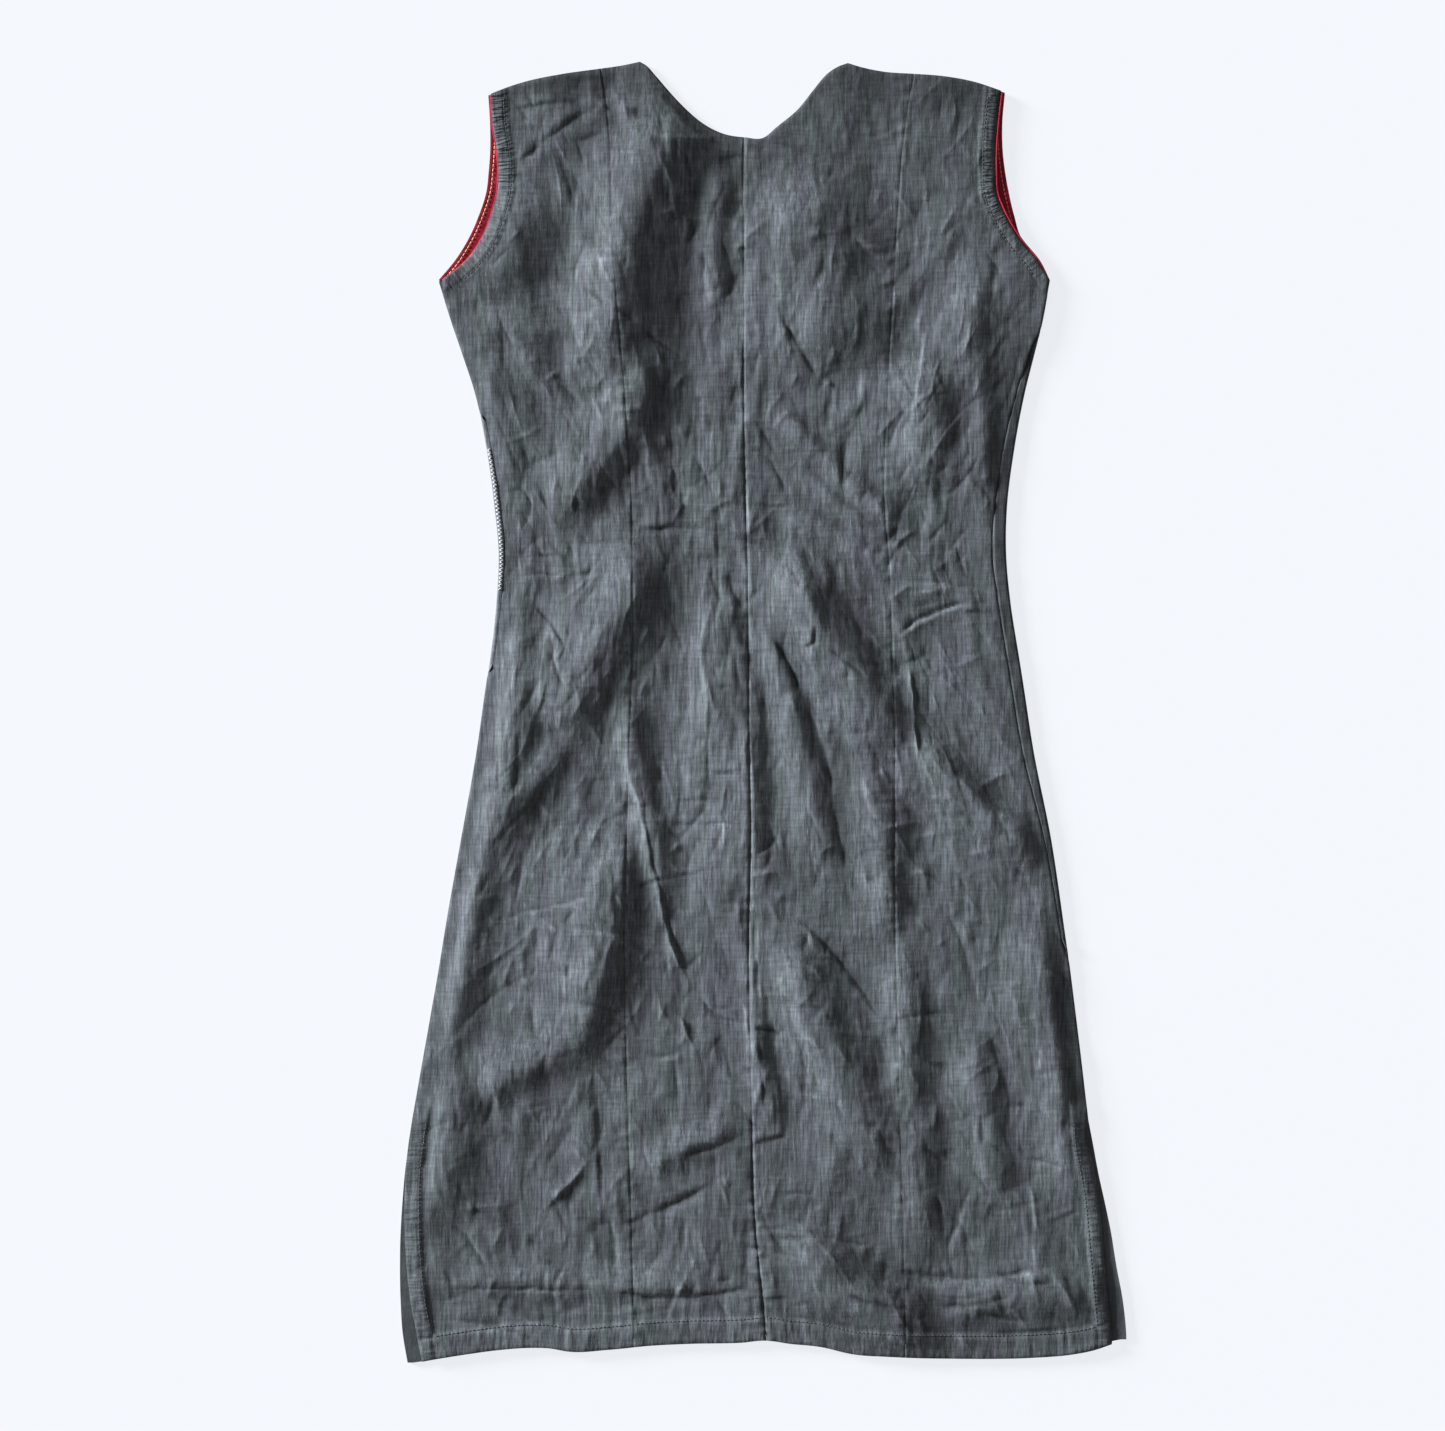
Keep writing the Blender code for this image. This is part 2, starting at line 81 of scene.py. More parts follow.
SIDES = [
    ("down", "left", "right", "left_roll", "right_roll"),
    (165, -245, 216.5, 2.5, 0.5),
    (200, -234, 210, 2.6, 2.9),
    (222, -226.5, 204.5, 2.9, 4),
    (248, -218, 198, 3, 6),
    (293, -208.5, 189.5, 3.8, 8.3),
    (338, -202.5, 184, 5.1, 9.4),
    (372, -199.5, 183.5, 4.9, 10.3),
    (406, -201, 186.5, 3.6, 9),
    (451, -206, 193.5, 3, 9),
    (470, -209, 196.5, 2.9, 8.9),
    (519, -216, 204, 0, 8.3),
    (587, -228, 217.5, 0, 5),
    (655, -240, 227.5, 0, 3),
    (680, -244, 231, 0, 2.9),
    (723, -251.5, 236.5, 0, 0),
    (797, -264.5, 245.2, 0, 0),
]
SLITS = [
    ("down", "back_left", "front_left", "front_right", "back_right"),
    (797, -264.5, -264.5, 245.2, 245.2),
    (817, -267.5, -267.5, 249, 246.5),
    (841, -270, -270.5, 253.5, 251),
    (859, -270.5, -272, 257.5, 254),
    (883, -270.5, -273.5, 262.5, 256.5),
    (908, -269, -274, 266.5, 258.5),
    (935, -266, -273.5, 271.5, 261),
    (959, -261.5, -272, 274, 263.2),
    (983, -257, -268, 274, 262.5),
]
SHOULDER_LEFT = [
    ("across", "down"),
    (-208, 25.7), (-199, 21.9), (-180, 15.5), (-153, 9.8), (-123, 5.3), (-104, 2.4),
    (-93, 0),
]
SHOULDER_RIGHT = [
    ("across", "down"),
    (64, 1), (73, 3.8), (91, 7.5), (115, 9.4), (137, 11.3), (158, 15.1), (183, 23.3),
]
NECKS = {
    "front": [
        ("across", "down"),
        (-93, 0.0), (-84, 28.0), (-70, 66.0), (-48, 95.0), (-14, 108.0), (20, 95.0),
        (41, 66.0), (55, 28.0), (64, 1.0),
    ],
}
HEMS = {
    "front": [
        ("across", "down"),
        (-274, 982.5), (-257, 980.0), (-199, 969.5), (-108, 963.5), (0, 960.5),
        (103, 967.5), (217, 969.5), (262, 966.5), (274, 964.1),
    ],
}
SETBACK = {"front": 0.8, "back": 0.0}
# Where the front's edge starts to turn over, lies over, starts to turn back and lies flat.
LEFT_TURN = (262.0, 271.0, 455.0, 464.0)
RIGHT_TURN = (200.0, 218.0, 662.0, 680.0)


def column(table, name):
    """One named column of a table, without its heading."""
    place = table[0].index(name)
    return np.array([row[place] for row in table[1:]], float)


def curve(table, name, at):
    """Smooth value of one column, read at stations of the table's first column."""
    stations = column(table, table[0][0])
    values = column(table, name)
    slopes = np.gradient(values, stations)
    at = np.clip(at, stations[0], stations[-1])
    low = np.clip(np.searchsorted(stations, at) - 1, 0, len(stations) - 2)
    step = stations[low + 1] - stations[low]
    t = (at - stations[low]) / step
    start = (1 + 2 * t) * (1 - t) ** 2 * values[low] + t * (1 - t) ** 2 * step * slopes[low]
    end = t * t * (3 - 2 * t) * values[low + 1] + t * t * (t - 1) * step * slopes[low + 1]
    return start + end


def ramp(value, low, high):
    """Smooth step from 0 at the low value to 1 at the high one."""
    t = np.clip((value - low) / (high - low), 0, 1)
    return t * t * (3 - 2 * t)


def outline(side, layer, down):
    """Edge of one layer at a depth, through armhole, side seam and slit."""
    beside = curve(SIDES, side, down)
    if layer == "back":
        first, over, back, last = LEFT_TURN if side == "left" else RIGHT_TURN
        beside_roll = ramp(down, first, over) * (1 - ramp(down, back, last))
        beside_roll = np.maximum(beside_roll, 1 - ramp(down, ARMHOLE_BASE, ARMHOLE_BASE + 12))
        roll = np.maximum(curve(SIDES, side + "_roll", down), 0) * beside_roll
        inward = roll + np.minimum(roll, ROLL_GAP)
        beside = beside + inward if side == "left" else beside - inward
    armhole = curve(ARMHOLE, layer + "_" + side, down)
    slit = curve(SLITS, layer + "_" + side, down)
    return np.where(down < ARMHOLE_BASE, armhole, np.where(down < SLIT_TOP, beside, slit))


def top_edge(across, layer):
    """Depth of the neck and shoulder edge of one layer."""
    neck = curve(NECKS[layer], "down", across)
    left = curve(SHOULDER_LEFT, "down", across)
    right = curve(SHOULDER_RIGHT, "down", across)
    inner = np.where(across < NECK_RIGHT, neck, right)
    return SETBACK[layer] + np.where(across < NECK_LEFT, left, inner)


def hem_edge(across, layer):
    """Depth of the lower edge of one layer."""
    return curve(HEMS[layer], "down", across)


def depth_levels(beside_armhole, beside_seam, beside_slit):
    """Levels from the shoulder to the hem, by how many lie beside each stretch of the edge."""
    upper = np.linspace(SHOULDER_LEVEL, ARMHOLE_BASE, beside_armhole)
    middle = np.linspace(ARMHOLE_BASE, SLIT_TOP, beside_seam)
    lower = np.linspace(SLIT_TOP, HEM_LEVEL, beside_slit)
    return np.concatenate([upper, middle[1:], lower[1:]])


def plan(left, right, layer, shares, levels):
    """Across and down of a panel's threads between its two long edges, fitted in rounds."""
    share, level = np.meshgrid(shares, levels)
    along = (level - SHOULDER_LEVEL) / (HEM_LEVEL - SHOULDER_LEVEL)
    down = level
    for _ in range(FITTING_ROUNDS):
        across = left(down) * (1 - share) + right(down) * share
        top = top_edge(across, layer) - SHOULDER_LEVEL
        hem = hem_edge(across, layer) - HEM_LEVEL
        down = level + top * (1 - along) ** BLEND_POWER + hem * along**BLEND_POWER
    return across, down


def turned_band(across, down, layer):
    """1 where the hem or a slit edge is turned in, fading over the step beyond it."""
    hem_line = hem_edge(across, layer) - HEM_DEPTH
    hem = ramp(down, hem_line - BAND_STEP, hem_line)
    left = across - outline("left", layer, down)
    right = outline("right", layer, down) - across
    beside = 1 - ramp(np.minimum(left, right), SLIT_BAND, SLIT_BAND + BAND_STEP)
    return np.maximum(hem, beside * ramp(down, SLIT_TOP - BAND_ABOVE_SLIT, SLIT_TOP))


def rumple(across, down, seed):
    """Smooth uneven relief between about -1 and 1, one hill or hollow to the unit."""
    x0, y0 = np.floor(across), np.floor(down)
    fx, fy = across - x0, down - y0
    sx, sy = fx**3 * (fx * (6 * fx - 15) + 10), fy**3 * (fy * (6 * fy - 15) + 10)

    def lean(i, j):
        mixed = np.sin((x0 + i) * 127.1 + (y0 + j) * 311.7 + seed * 74.7) * 43758.5453
        angle = 2 * np.pi * (mixed - np.floor(mixed))
        return np.cos(angle) * (fx - i) + np.sin(angle) * (fy - j)

    top = lean(0, 0) * (1 - sx) + lean(1, 0) * sx
    low = lean(0, 1) * (1 - sx) + lean(1, 1) * sx
    return 1.5 * (top * (1 - sy) + low * sy)


def crumple(across, down):
    """Relief in millimetres of cloth that was washed, wrung and dried in a heap."""
    spread = 1 + 0.8 * ramp(np.abs(down - WAIST_DOWN), 0, 420)
    flow = (across - WAIST_ACROSS) / spread
    x = flow + 6 * rumple(across / 44, down / 70, 1) + 2.4 * rumple(across / 13, down / 22, 2)
    y = down + 12 * rumple(across / 50, down / 60, 3)
    lively = 0.85 * np.exp(1.2 * rumple(across / 55, down / 75, 4))
    broad = 1.4 * rumple(x / 40, y / 110, 5) + 1.1 * rumple(x / 24, y / 72, 17)
    facets = 0.95 * np.maximum(rumple(x / 17, y / 62, 6), rumple(x / 21, y / 74, 7))
    facets += 0.8 * np.minimum(rumple(x / 14, y / 54, 8), rumple(x / 18, y / 66, 9))
    x = flow + 2.0 * rumple(across / 15, down / 26, 2) + 0.6 * rumple(across / 6, down / 12, 12)
    sharp = 0.65 * (np.abs(rumple(x / 13, y / 40, 10)) - np.abs(rumple(x / 16, y / 52, 11)))
    sharp += 0.22 * (np.abs(rumple(x / 7.5, y / 25, 14)) - np.abs(rumple(x / 9, y / 31, 15)))
    crossed = ramp(rumple(across / 50, down / 60, 18), -0.1, 0.5)
    sharp += 0.35 * np.abs(rumple(x / 19, y / 8, 16)) * crossed
    return 0.68 * (broad + lively * facets) + 0.75 * sharp * (0.5 + 0.5 * lively)


# How the rim of a cloth with no underside turns in: depths, and grid steps inward.
RIM_RINGS = ((0.5, 0), (1, 1), (1, 4))


def lay_cloth(name, top, tone, material, under=None, pucker=None):
    """Sheet of cloth from a grid of points, closed by its underside or with its rim turned in."""
    rows, columns = top.shape[:2]
    index = np.arange(rows * columns).reshape(rows, columns)
    quads = np.stack([index[:-1, :-1], index[1:, :-1], index[1:, 1:], index[:-1, 1:]], axis=-1)
    quads = quads.reshape(-1, 4)
    points = top.reshape(-1, 3)
    tones = tone.reshape(-1)
    rim = np.concatenate([index[:, 0], index[-1, 1:], index[-2::-1, -1], index[0, -2:0:-1]])
    count = len(points)
    rings = [rim]
    if under is not None:
        quads = np.concatenate([quads, quads[:, ::-1] + count])
        points = np.concatenate([points, under.reshape(-1, 3)])
        tones = np.concatenate([tones, tones])
        rings.append(rim + count)
    else:
        row, place = np.divmod(rim, columns)
        for depth, inward in RIM_RINGS:
            inner_row = np.clip(row, inward, rows - 1 - inward)
            inner_place = np.clip(place, inward, columns - 1 - inward)
            ring = top[inner_row, inner_place].copy()
            ring[:, 2] = np.minimum(ring[:, 2], top[row, place][:, 2]) - depth * MM
            rings.append(np.arange(len(rim)) + len(points))
            points = np.concatenate([points, ring])
            tones = np.concatenate([tones, tones[rim]])
    for upper, lower in zip(rings, rings[1:]):
        walls = np.stack([np.roll(upper, -1), upper, lower, np.roll(lower, -1)], axis=-1)
        quads = np.concatenate([quads, walls])
    data = bpy.data.meshes.new(name)
    data.from_pydata(points.tolist(), [], quads.tolist())
    # Each point's tone, which the cloth's material turns into painted light and shade.
    shade = data.attributes.new("tone", "FLOAT", "POINT")
    shade.data.foreach_set("value", tones.astype(np.float32))
    if pucker is not None:
        wrinkled = data.attributes.new("pucker", "FLOAT_VECTOR", "POINT")
        values = np.zeros((len(points), 3), np.float32)
        values[:count] = pucker.reshape(-1, 3)
        wrinkled.data.foreach_set("vector", values.reshape(-1))
    data.shade_smooth()
    ends = np.empty(2 * len(data.edges), np.int32)
    data.edges.foreach_get("vertices", ends)
    numbered = np.array([len(points), 1], np.int64)
    border = np.sort(np.stack([rim, np.roll(rim, -1)], axis=1), axis=1) @ numbered
    crisp = data.attributes.new("sharp_edge", "BOOLEAN", "EDGE")
    crisp.data.foreach_set("value", np.isin(np.sort(ends.reshape(-1, 2), axis=1) @ numbered, border))
    data.materials.append(material)
    piece = bpy.data.objects.new(name, data)
    bpy.context.scene.collection.objects.link(piece)
    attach(piece, "root")
    return piece


def placed(across, down, height):
    """Points in metres, where the solids have theirs."""
    return MM * np.stack([across - MIDDLE_ACROSS, MIDDLE_DOWN - down, height + 0 * across], axis=-1)


def woven(name, ground, warm, cool, slub, depth, rough, sheen):
    """Plain weave with uneven threads: streaks, slubs, drifting tints and a raised grain."""
    material = bpy.data.materials.new(name)
    material.use_nodes = True
    nodes, links = material.node_tree.nodes, material.node_tree.links
    shader = nodes["Principled BSDF"]
    where = nodes.new("ShaderNodeTexCoord")

    def threads(across, along, detail, offset):
        """Noise with so many waves a metre across the warp threads and along them."""
        spot = nodes.new("ShaderNodeMapping")
        spot.inputs["Location"].default_value = (offset, offset * 0.7, 0)
        spot.inputs["Scale"].default_value = (across, along, across)
        noise = nodes.new("ShaderNodeTexNoise")
        noise.inputs["Scale"].default_value = 1.0
        noise.inputs["Detail"].default_value = detail
        noise.inputs["Roughness"].default_value = 0.6
        links.new(where.outputs["Object"], spot.inputs["Vector"])
        links.new(spot.outputs["Vector"], noise.inputs["Vector"])
        return noise.outputs["Fac"]

    def level(source, low, high, to_low, to_high):
        span = nodes.new("ShaderNodeMapRange")
        ends = {"From Min": low, "From Max": high, "To Min": to_low, "To Max": to_high}
        for key, value in ends.items():
            span.inputs[key].default_value = value
        links.new(source, span.inputs["Value"])
        return span.outputs["Result"]

    def blend(kind, factor, first, second):
        mix = nodes.new("ShaderNodeMix")
        mix.data_type = "RGBA"
        mix.blend_type = kind
        for socket, value in ((mix.inputs[0], factor), (mix.inputs[6], first), (mix.inputs[7], second)):
            if isinstance(value, bpy.types.NodeSocket):
                links.new(value, socket)
            else:
                socket.default_value = value
        return mix.outputs[2]

    colour = blend("MIX", level(threads(75, 13, 4, 3.1), 0.44, 0.62, 0, 0.8), ground, warm)
    colour = blend("MIX", level(threads(95, 10, 4, 8.4), 0.46, 0.64, 0, 0.7), colour, cool)
    colour = blend("MIX", level(threads(1500, 90, 1, 5.0), 0.64, 0.80, 0, 0.8), colour, slub)
    # Streaks of the warp, picks of the weft, broader bands, and faded patches.
    for pattern, low, share in (
        (threads(640, 46, 3, 1.7), 0.25, depth),
        (threads(60, 600, 3, 9.1), 0.25, 0.36 * depth),
        (threads(170, 9, 3, 6.3), 0.25, 0.3 * depth),
        (threads(42, 26, 4, 7.7), 0.3, 0.2),
    ):
        shade = level(pattern, low, 1 - low, 1 - share, 1 + share)
        colour = blend("MULTIPLY", 1.0, colour, shade)
    # Painted light and shade: each point's tone darkens or lightens the cloth's colour, from 0.45 to
    # 1.55 times.
    painted_light_and_shade = nodes.new("ShaderNodeAttribute")
    painted_light_and_shade.attribute_name = "tone"
    colour = blend("MULTIPLY", 1.0, colour, level(painted_light_and_shade.outputs["Fac"], 0, 1, 0.45, 1.55))
    links.new(colour, shader.inputs["Base Color"])
    shader.inputs["Roughness"].default_value = rough
    shader.inputs["Specular IOR Level"].default_value = 0.2
    shader.inputs["Sheen Weight"].default_value = sheen
    shader.inputs["Sheen Roughness"].default_value = 0.4

    def raised(height, distance, before):
        """Relief of so many metres, on top of the relief before it."""
        bump = nodes.new("ShaderNodeBump")
        bump.inputs["Strength"].default_value = 1.0
        bump.inputs["Distance"].default_value = distance
        links.new(height, bump.inputs["Height"])
        if before is not None:
            links.new(before.outputs["Normal"], bump.inputs["Normal"])
        return bump

    creased = threads(120, 52, 3, 2.2)
    creased.node.noise_type = "RIDGED_MULTIFRACTAL"
    creases = raised(creased, 0.00055, None)
    crossing = threads(62, 150, 2, 6.6)
    crossing.node.noise_type = "RIDGED_MULTIFRACTAL"
    creases = raised(crossing, 0.0003, creases)
    stitching = nodes.new("ShaderNodeAttribute")
    stitching.attribute_name = "pucker"
    parts = nodes.new("ShaderNodeSeparateXYZ")
    links.new(stitching.outputs["Vector"], parts.inputs["Vector"])
    spread = nodes.new("ShaderNodeMapping")
    spread.inputs["Scale"].default_value = (0.42, 0.06, 0)
    links.new(stitching.outputs["Vector"], spread.inputs["Vector"])
    gathers = nodes.new("ShaderNodeTexNoise")
    gathers.inputs["Scale"].default_value = 1.0
    gathers.inputs["Detail"].default_value = 1.0
    links.new(spread.outputs["Vector"], gathers.inputs["Vector"])
    gathered = nodes.new("ShaderNodeMath")
    gathered.operation = "MULTIPLY"
    links.new(gathers.outputs["Fac"], gathered.inputs[0])
    links.new(parts.outputs["Z"], gathered.inputs[1])
    puckers = raised(gathered.outputs["Value"], 0.0024, creases)
    grain = raised(threads(1300, 320, 2, 4.4), 0.00016, puckers)
    links.new(grain.outputs["Normal"], shader.inputs["Normal"])
    return material


SLATE = woven(
    "slate_shot_cotton",
    (0.088, 0.100, 0.112, 1),
    (0.094, 0.099, 0.119, 1),
    (0.085, 0.104, 0.106, 1),
    (0.170, 0.192, 0.208, 1),
    depth=0.60, rough=0.74, sheen=0.05,
)
SLATE_INSIDE = woven(
    "slate_shot_cotton_inside",
    (0.060, 0.070, 0.076, 1),
    (0.070, 0.070, 0.084, 1),
    (0.060, 0.074, 0.072, 1),
    (0.100, 0.112, 0.120, 1),
    depth=0.22, rough=0.8, sheen=0.05,
)

ARC_STEPS = 8
STRIP_STEPS = 4
SHORTEST_STRIP = 0.5
NECK_CORNERS = [0.2936, 0.6962]


def edge_section(turn, strip):
    """Offsets outward and up of both faces of a rolled edge, from where it leaves the surface."""
    length = np.pi * EDGE_RADIUS
    share = np.linspace(0, 1, ARC_STEPS + 1)[1:]
    angle = turn * share
    radius = length / max(turn, 1e-6)
    outward = radius * np.sin(angle) if turn else length * share
    up = radius * (1 - np.cos(angle)) if turn else 0 * share
    further = strip * np.linspace(0, 1, STRIP_STEPS + 1)[1:]
    outward = np.append(outward, outward[-1] + further * np.cos(turn))
    up = np.append(up, up[-1] + further * np.sin(turn)) + WALL / 2
    angle = np.append(angle, np.full(STRIP_STEPS, turn))
    normal = np.stack([-np.sin(angle), np.cos(angle)]) * WALL / 2
    middle = np.stack([outward, up])
    return middle - normal, middle + normal


def rolled_edge(side, down, levels, stations):
    """Where a rolled edge leaves the surface at each level, and its outer and inner faces."""
    sign = -1 if side == "left" else 1
    edge = outline(side, "front", down)
    start = np.zeros_like(down)
    outer = np.zeros((len(down), ARC_STEPS + STRIP_STEPS, 2))
    inner = np.zeros_like(outer)
    for row, level in enumerate(levels):
        roll = float(curve(SIDES, side + "_roll", down[row]))
        strip = max(roll - EDGE_RADIUS - WALL / 2, SHORTEST_STRIP)
        turn = np.pi * np.interp(level, stations, [0, 1, 1, 0])
        below, above = edge_section(turn, strip)
        reach = max(below[0].max(), above[0].max())
        start[row] = edge[row] - sign * reach
        outer[row] = np.stack([start[row] + sign * below[0], below[1]], axis=1)
        inner[row] = np.stack([start[row] + sign * above[0], above[1]], axis=1)
    return start, outer, inner


front_levels = depth_levels(48, 211, 60)
left_shares, middle_shares = np.linspace(0, 0.06, 9), np.linspace(0.06, 0.94, 45)
right_shares = np.linspace(0.94, 1, 9)
front_shares = np.unique(np.concatenate([left_shares, middle_shares, right_shares, NECK_CORNERS]))
across, down = plan(
    lambda d: outline("left", "front", d),
    lambda d: outline("right", "front", d),
    "front",
    front_shares,
    front_levels,
)
left_start, left_outer, left_inner = rolled_edge("left", down[:, 0], front_levels, LEFT_TURN)
right_start, right_outer, right_inner = rolled_edge("right", down[:, -1], front_levels, RIGHT_TURN)
share = (across - across[:, :1]) / (across[:, -1:] - across[:, :1])
band = turned_band(across, down, "front")
across = left_start[:, None] * (1 - share) + right_start[:, None] * share
inset = np.minimum(across - across[:, :1], across[:, -1:] - across)
shallow = 0.22 * np.clip(crumple(across, down), -1, 1) - 0.15
high = WALL * (1 + band) + shallow * ramp(inset, 0, 6)
low = 0.28 * np.clip(0.4 + crumple(-across, down + 300), 0, 1.5) * ramp(inset, 2, 14)
ends = ARC_STEPS + STRIP_STEPS
left_down, right_down = (np.repeat(down[:, i], ends).reshape(-1, ends) for i in (0, -1))
all_down = np.concatenate([left_down, down, right_down], axis=1)
top_across = np.concatenate([left_inner[:, ::-1, 0], across, right_inner[:, :, 0]], axis=1)
low_across = np.concatenate([left_outer[:, ::-1, 0], across, right_outer[:, :, 0]], axis=1)
rise_left, rise_right = WALL * band[:, :1], WALL * band[:, -1:]
top_height = np.concatenate(
    [left_inner[:, ::-1, 1] + rise_left, high, right_inner[:, :, 1] + rise_right], axis=1
)
ruffle = 0.35 * rumple(low_across / 9, all_down / 13, 21) * ramp(top_height, 2.0, 2.4)
low_height = np.concatenate([left_outer[:, ::-1, 1], low, right_outer[:, :, 1]], axis=1) + ruffle
# Painted shade and light on the right part of the front and its rolled strip: painted darker above the
# slit, where it lies in shade, and painted lighter beside the slit, where the back's edge shades it.
# The rest of the front has a plain even tone.
right_strip = ramp(np.linspace(0, 1, top_across.shape[1]), 0.8, 0.86)
strip_painted_shade_and_light = 0.5 + right_strip * (-0.4 + 0.9 * ramp(all_down, 760, 810))
front = lay_cloth(
    "front_panel",
    placed(top_across, all_down, top_height),
    strip_painted_shade_and_light,
    SLATE,
    under=placed(low_across, all_down, low_height),
)
front.data.materials.append(SLATE_INSIDE)
inside_faces = (top_across.shape[0] - 1) * (top_across.shape[1] - 1)
slots = np.zeros(len(front.data.polygons), np.int32)
slots[:inside_faces] = 1
front.data.polygons.foreach_set("material_index", slots)
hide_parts("front")

# The red facings of the armholes: curved strips of plain cotton, cut to the armhole's
# shape and turned to the inside. Those of the front show beyond the back's edge, with an
# orange topstitch; those of the back show only as a thin bright edge.
GAP = 0.3
FACING_WALL = 1.0
FACING_WIDTH = 32
TOPSTITCH_IN = 3.2
FACING = [
    ("share", "inward", "lower", "peek"),
    (0.0, 32, -10.2, 1),
    (0.15, 32, -2, 1.1),
    (0.35, 32, 0, 1.2),
    (0.6, 31, 2, 1.2),
    (0.8, 28, 10, 1),
    (0.92, 22, 21, 0.8),
    (1.0, 12, 29, 0.4),
]
RED = woven(
    "red_facing_cotton",
    (0.225, 0.008, 0.022, 1),
    (0.280, 0.010, 0.027, 1),
    (0.180, 0.007, 0.020, 1),
    (0.450, 0.036, 0.055, 1),
    depth=0.20, rough=0.8, sheen=0.03,
)
# Painted light and shade of the red facings, as tones: the front left one painted a little darker where
# the low light catches it, the back left one painted lighter as a painted highlight on its thin edge,
# and both right ones painted much lighter in the shadow of the back's edge.
FACING_PAINTED_LIGHT_AND_SHADE = {"front_left": 0.42, "back_left": 0.66, "front_right": 1.0, "back_right": 1.0}
PIPING_RISE = {"left": 0.4, "right": 1.25}
PIPING_PEEK = {"left": 1.0, "right": 1.7}
FACING_START = {"left": 1.5, "right": -0.6}
# Rings of points that make one stitch, by share of its length and height over the cloth.
STITCH_RINGS = ((0, -0.25), (0.25, 1.0), (0.75, 1.0), (1, -0.25))
THREAD_SECTION = ((-1, 0), (-0.6, 0.8), (0.6, 0.8), (1, 0))


def facing_grid(side, layer, shares, inwards):
    """Across and down of a facing's points, along the armhole and in from its edge."""
    sign = -1 if side == "left" else 1
    share, inward = np.meshgrid(shares, inwards, indexing="ij")
    first = SHOULDER_LEVEL + FACING_START[side]
    outer_down = first + share * (ARMHOLE_BASE - 0.3 - first)
    outer = curve(ARMHOLE, layer + "_" + side, outer_down)
    if layer == "back":
        outer = outer + sign * curve(FACING, "peek", share) * PIPING_PEEK[side]
    across = outer - sign * inward * curve(FACING, "inward", share)
    down = outer_down + inward * curve(FACING, "lower", share)
    hidden = outline(side, "back", np.maximum(down, ARMHOLE_BASE)) - 1.5 * sign
    beyond = (down > ARMHOLE_BASE) & (sign * across > sign * hidden)
    return np.where(beyond, hidden, across), down


def spaced(line, pitch, length):
    """Both ends of each stitch of a row that follows a line of placed points."""
    steps = np.linalg.norm(np.diff(line, axis=0), axis=1)
    run = np.concatenate([[0], np.cumsum(steps)])
    starts = np.arange(0.3 * pitch, run[-1] - length, pitch)
    return [
        np.stack([np.interp(starts + further, run, line[:, i]) for i in range(3)], axis=1)
        for further in (0, length)
    ]


def sewn(name, starts, ends, width, lift, material):
    """Separate stitches of thread, each sunk in the cloth at both ends."""
    points, faces = [], []
    around = len(THREAD_SECTION)
    for start, end in zip(starts, ends):
        base = len(points)
        heading = end - start
        beside = np.array([-heading[1], heading[0], 0]) / (np.hypot(heading[0], heading[1]) + 1e-9)
        for share, height in STITCH_RINGS:
            centre = start + heading * share + np.array([0, 0, lift * height])
            for side, up in THREAD_SECTION:
                points.append(centre + beside * width * side / 2 + np.array([0, 0, up * width / 2]))
        for ring in range(base, len(points) - around, around):
            for spot in range(around):
                a, b = ring + spot, ring + (spot + 1) % around
                faces.append((a, b, b + around, a + around))
        faces.append(tuple(range(base + around - 1, base - 1, -1)))
        faces.append(tuple(range(len(points) - around, len(points))))
    data = bpy.data.meshes.new(name)
    data.from_pydata([tuple(p) for p in points], [], faces)
    shaper = bmesh.new()
    shaper.from_mesh(data)
    bmesh.ops.recalc_face_normals(shaper, faces=shaper.faces)
    shaper.to_mesh(data)
    shaper.free()
    data.shade_smooth()
    data.materials.append(material)
    piece = bpy.data.objects.new(name, data)
    bpy.context.scene.collection.objects.link(piece)
    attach(piece, "root")
    return piece


def thread_colour(name, colour, rough):
    material = bpy.data.materials.new(name)
    material.use_nodes = True
    shader = material.node_tree.nodes["Principled BSDF"]
    shader.inputs["Base Color"].default_value = colour
    shader.inputs["Roughness"].default_value = rough
    return material


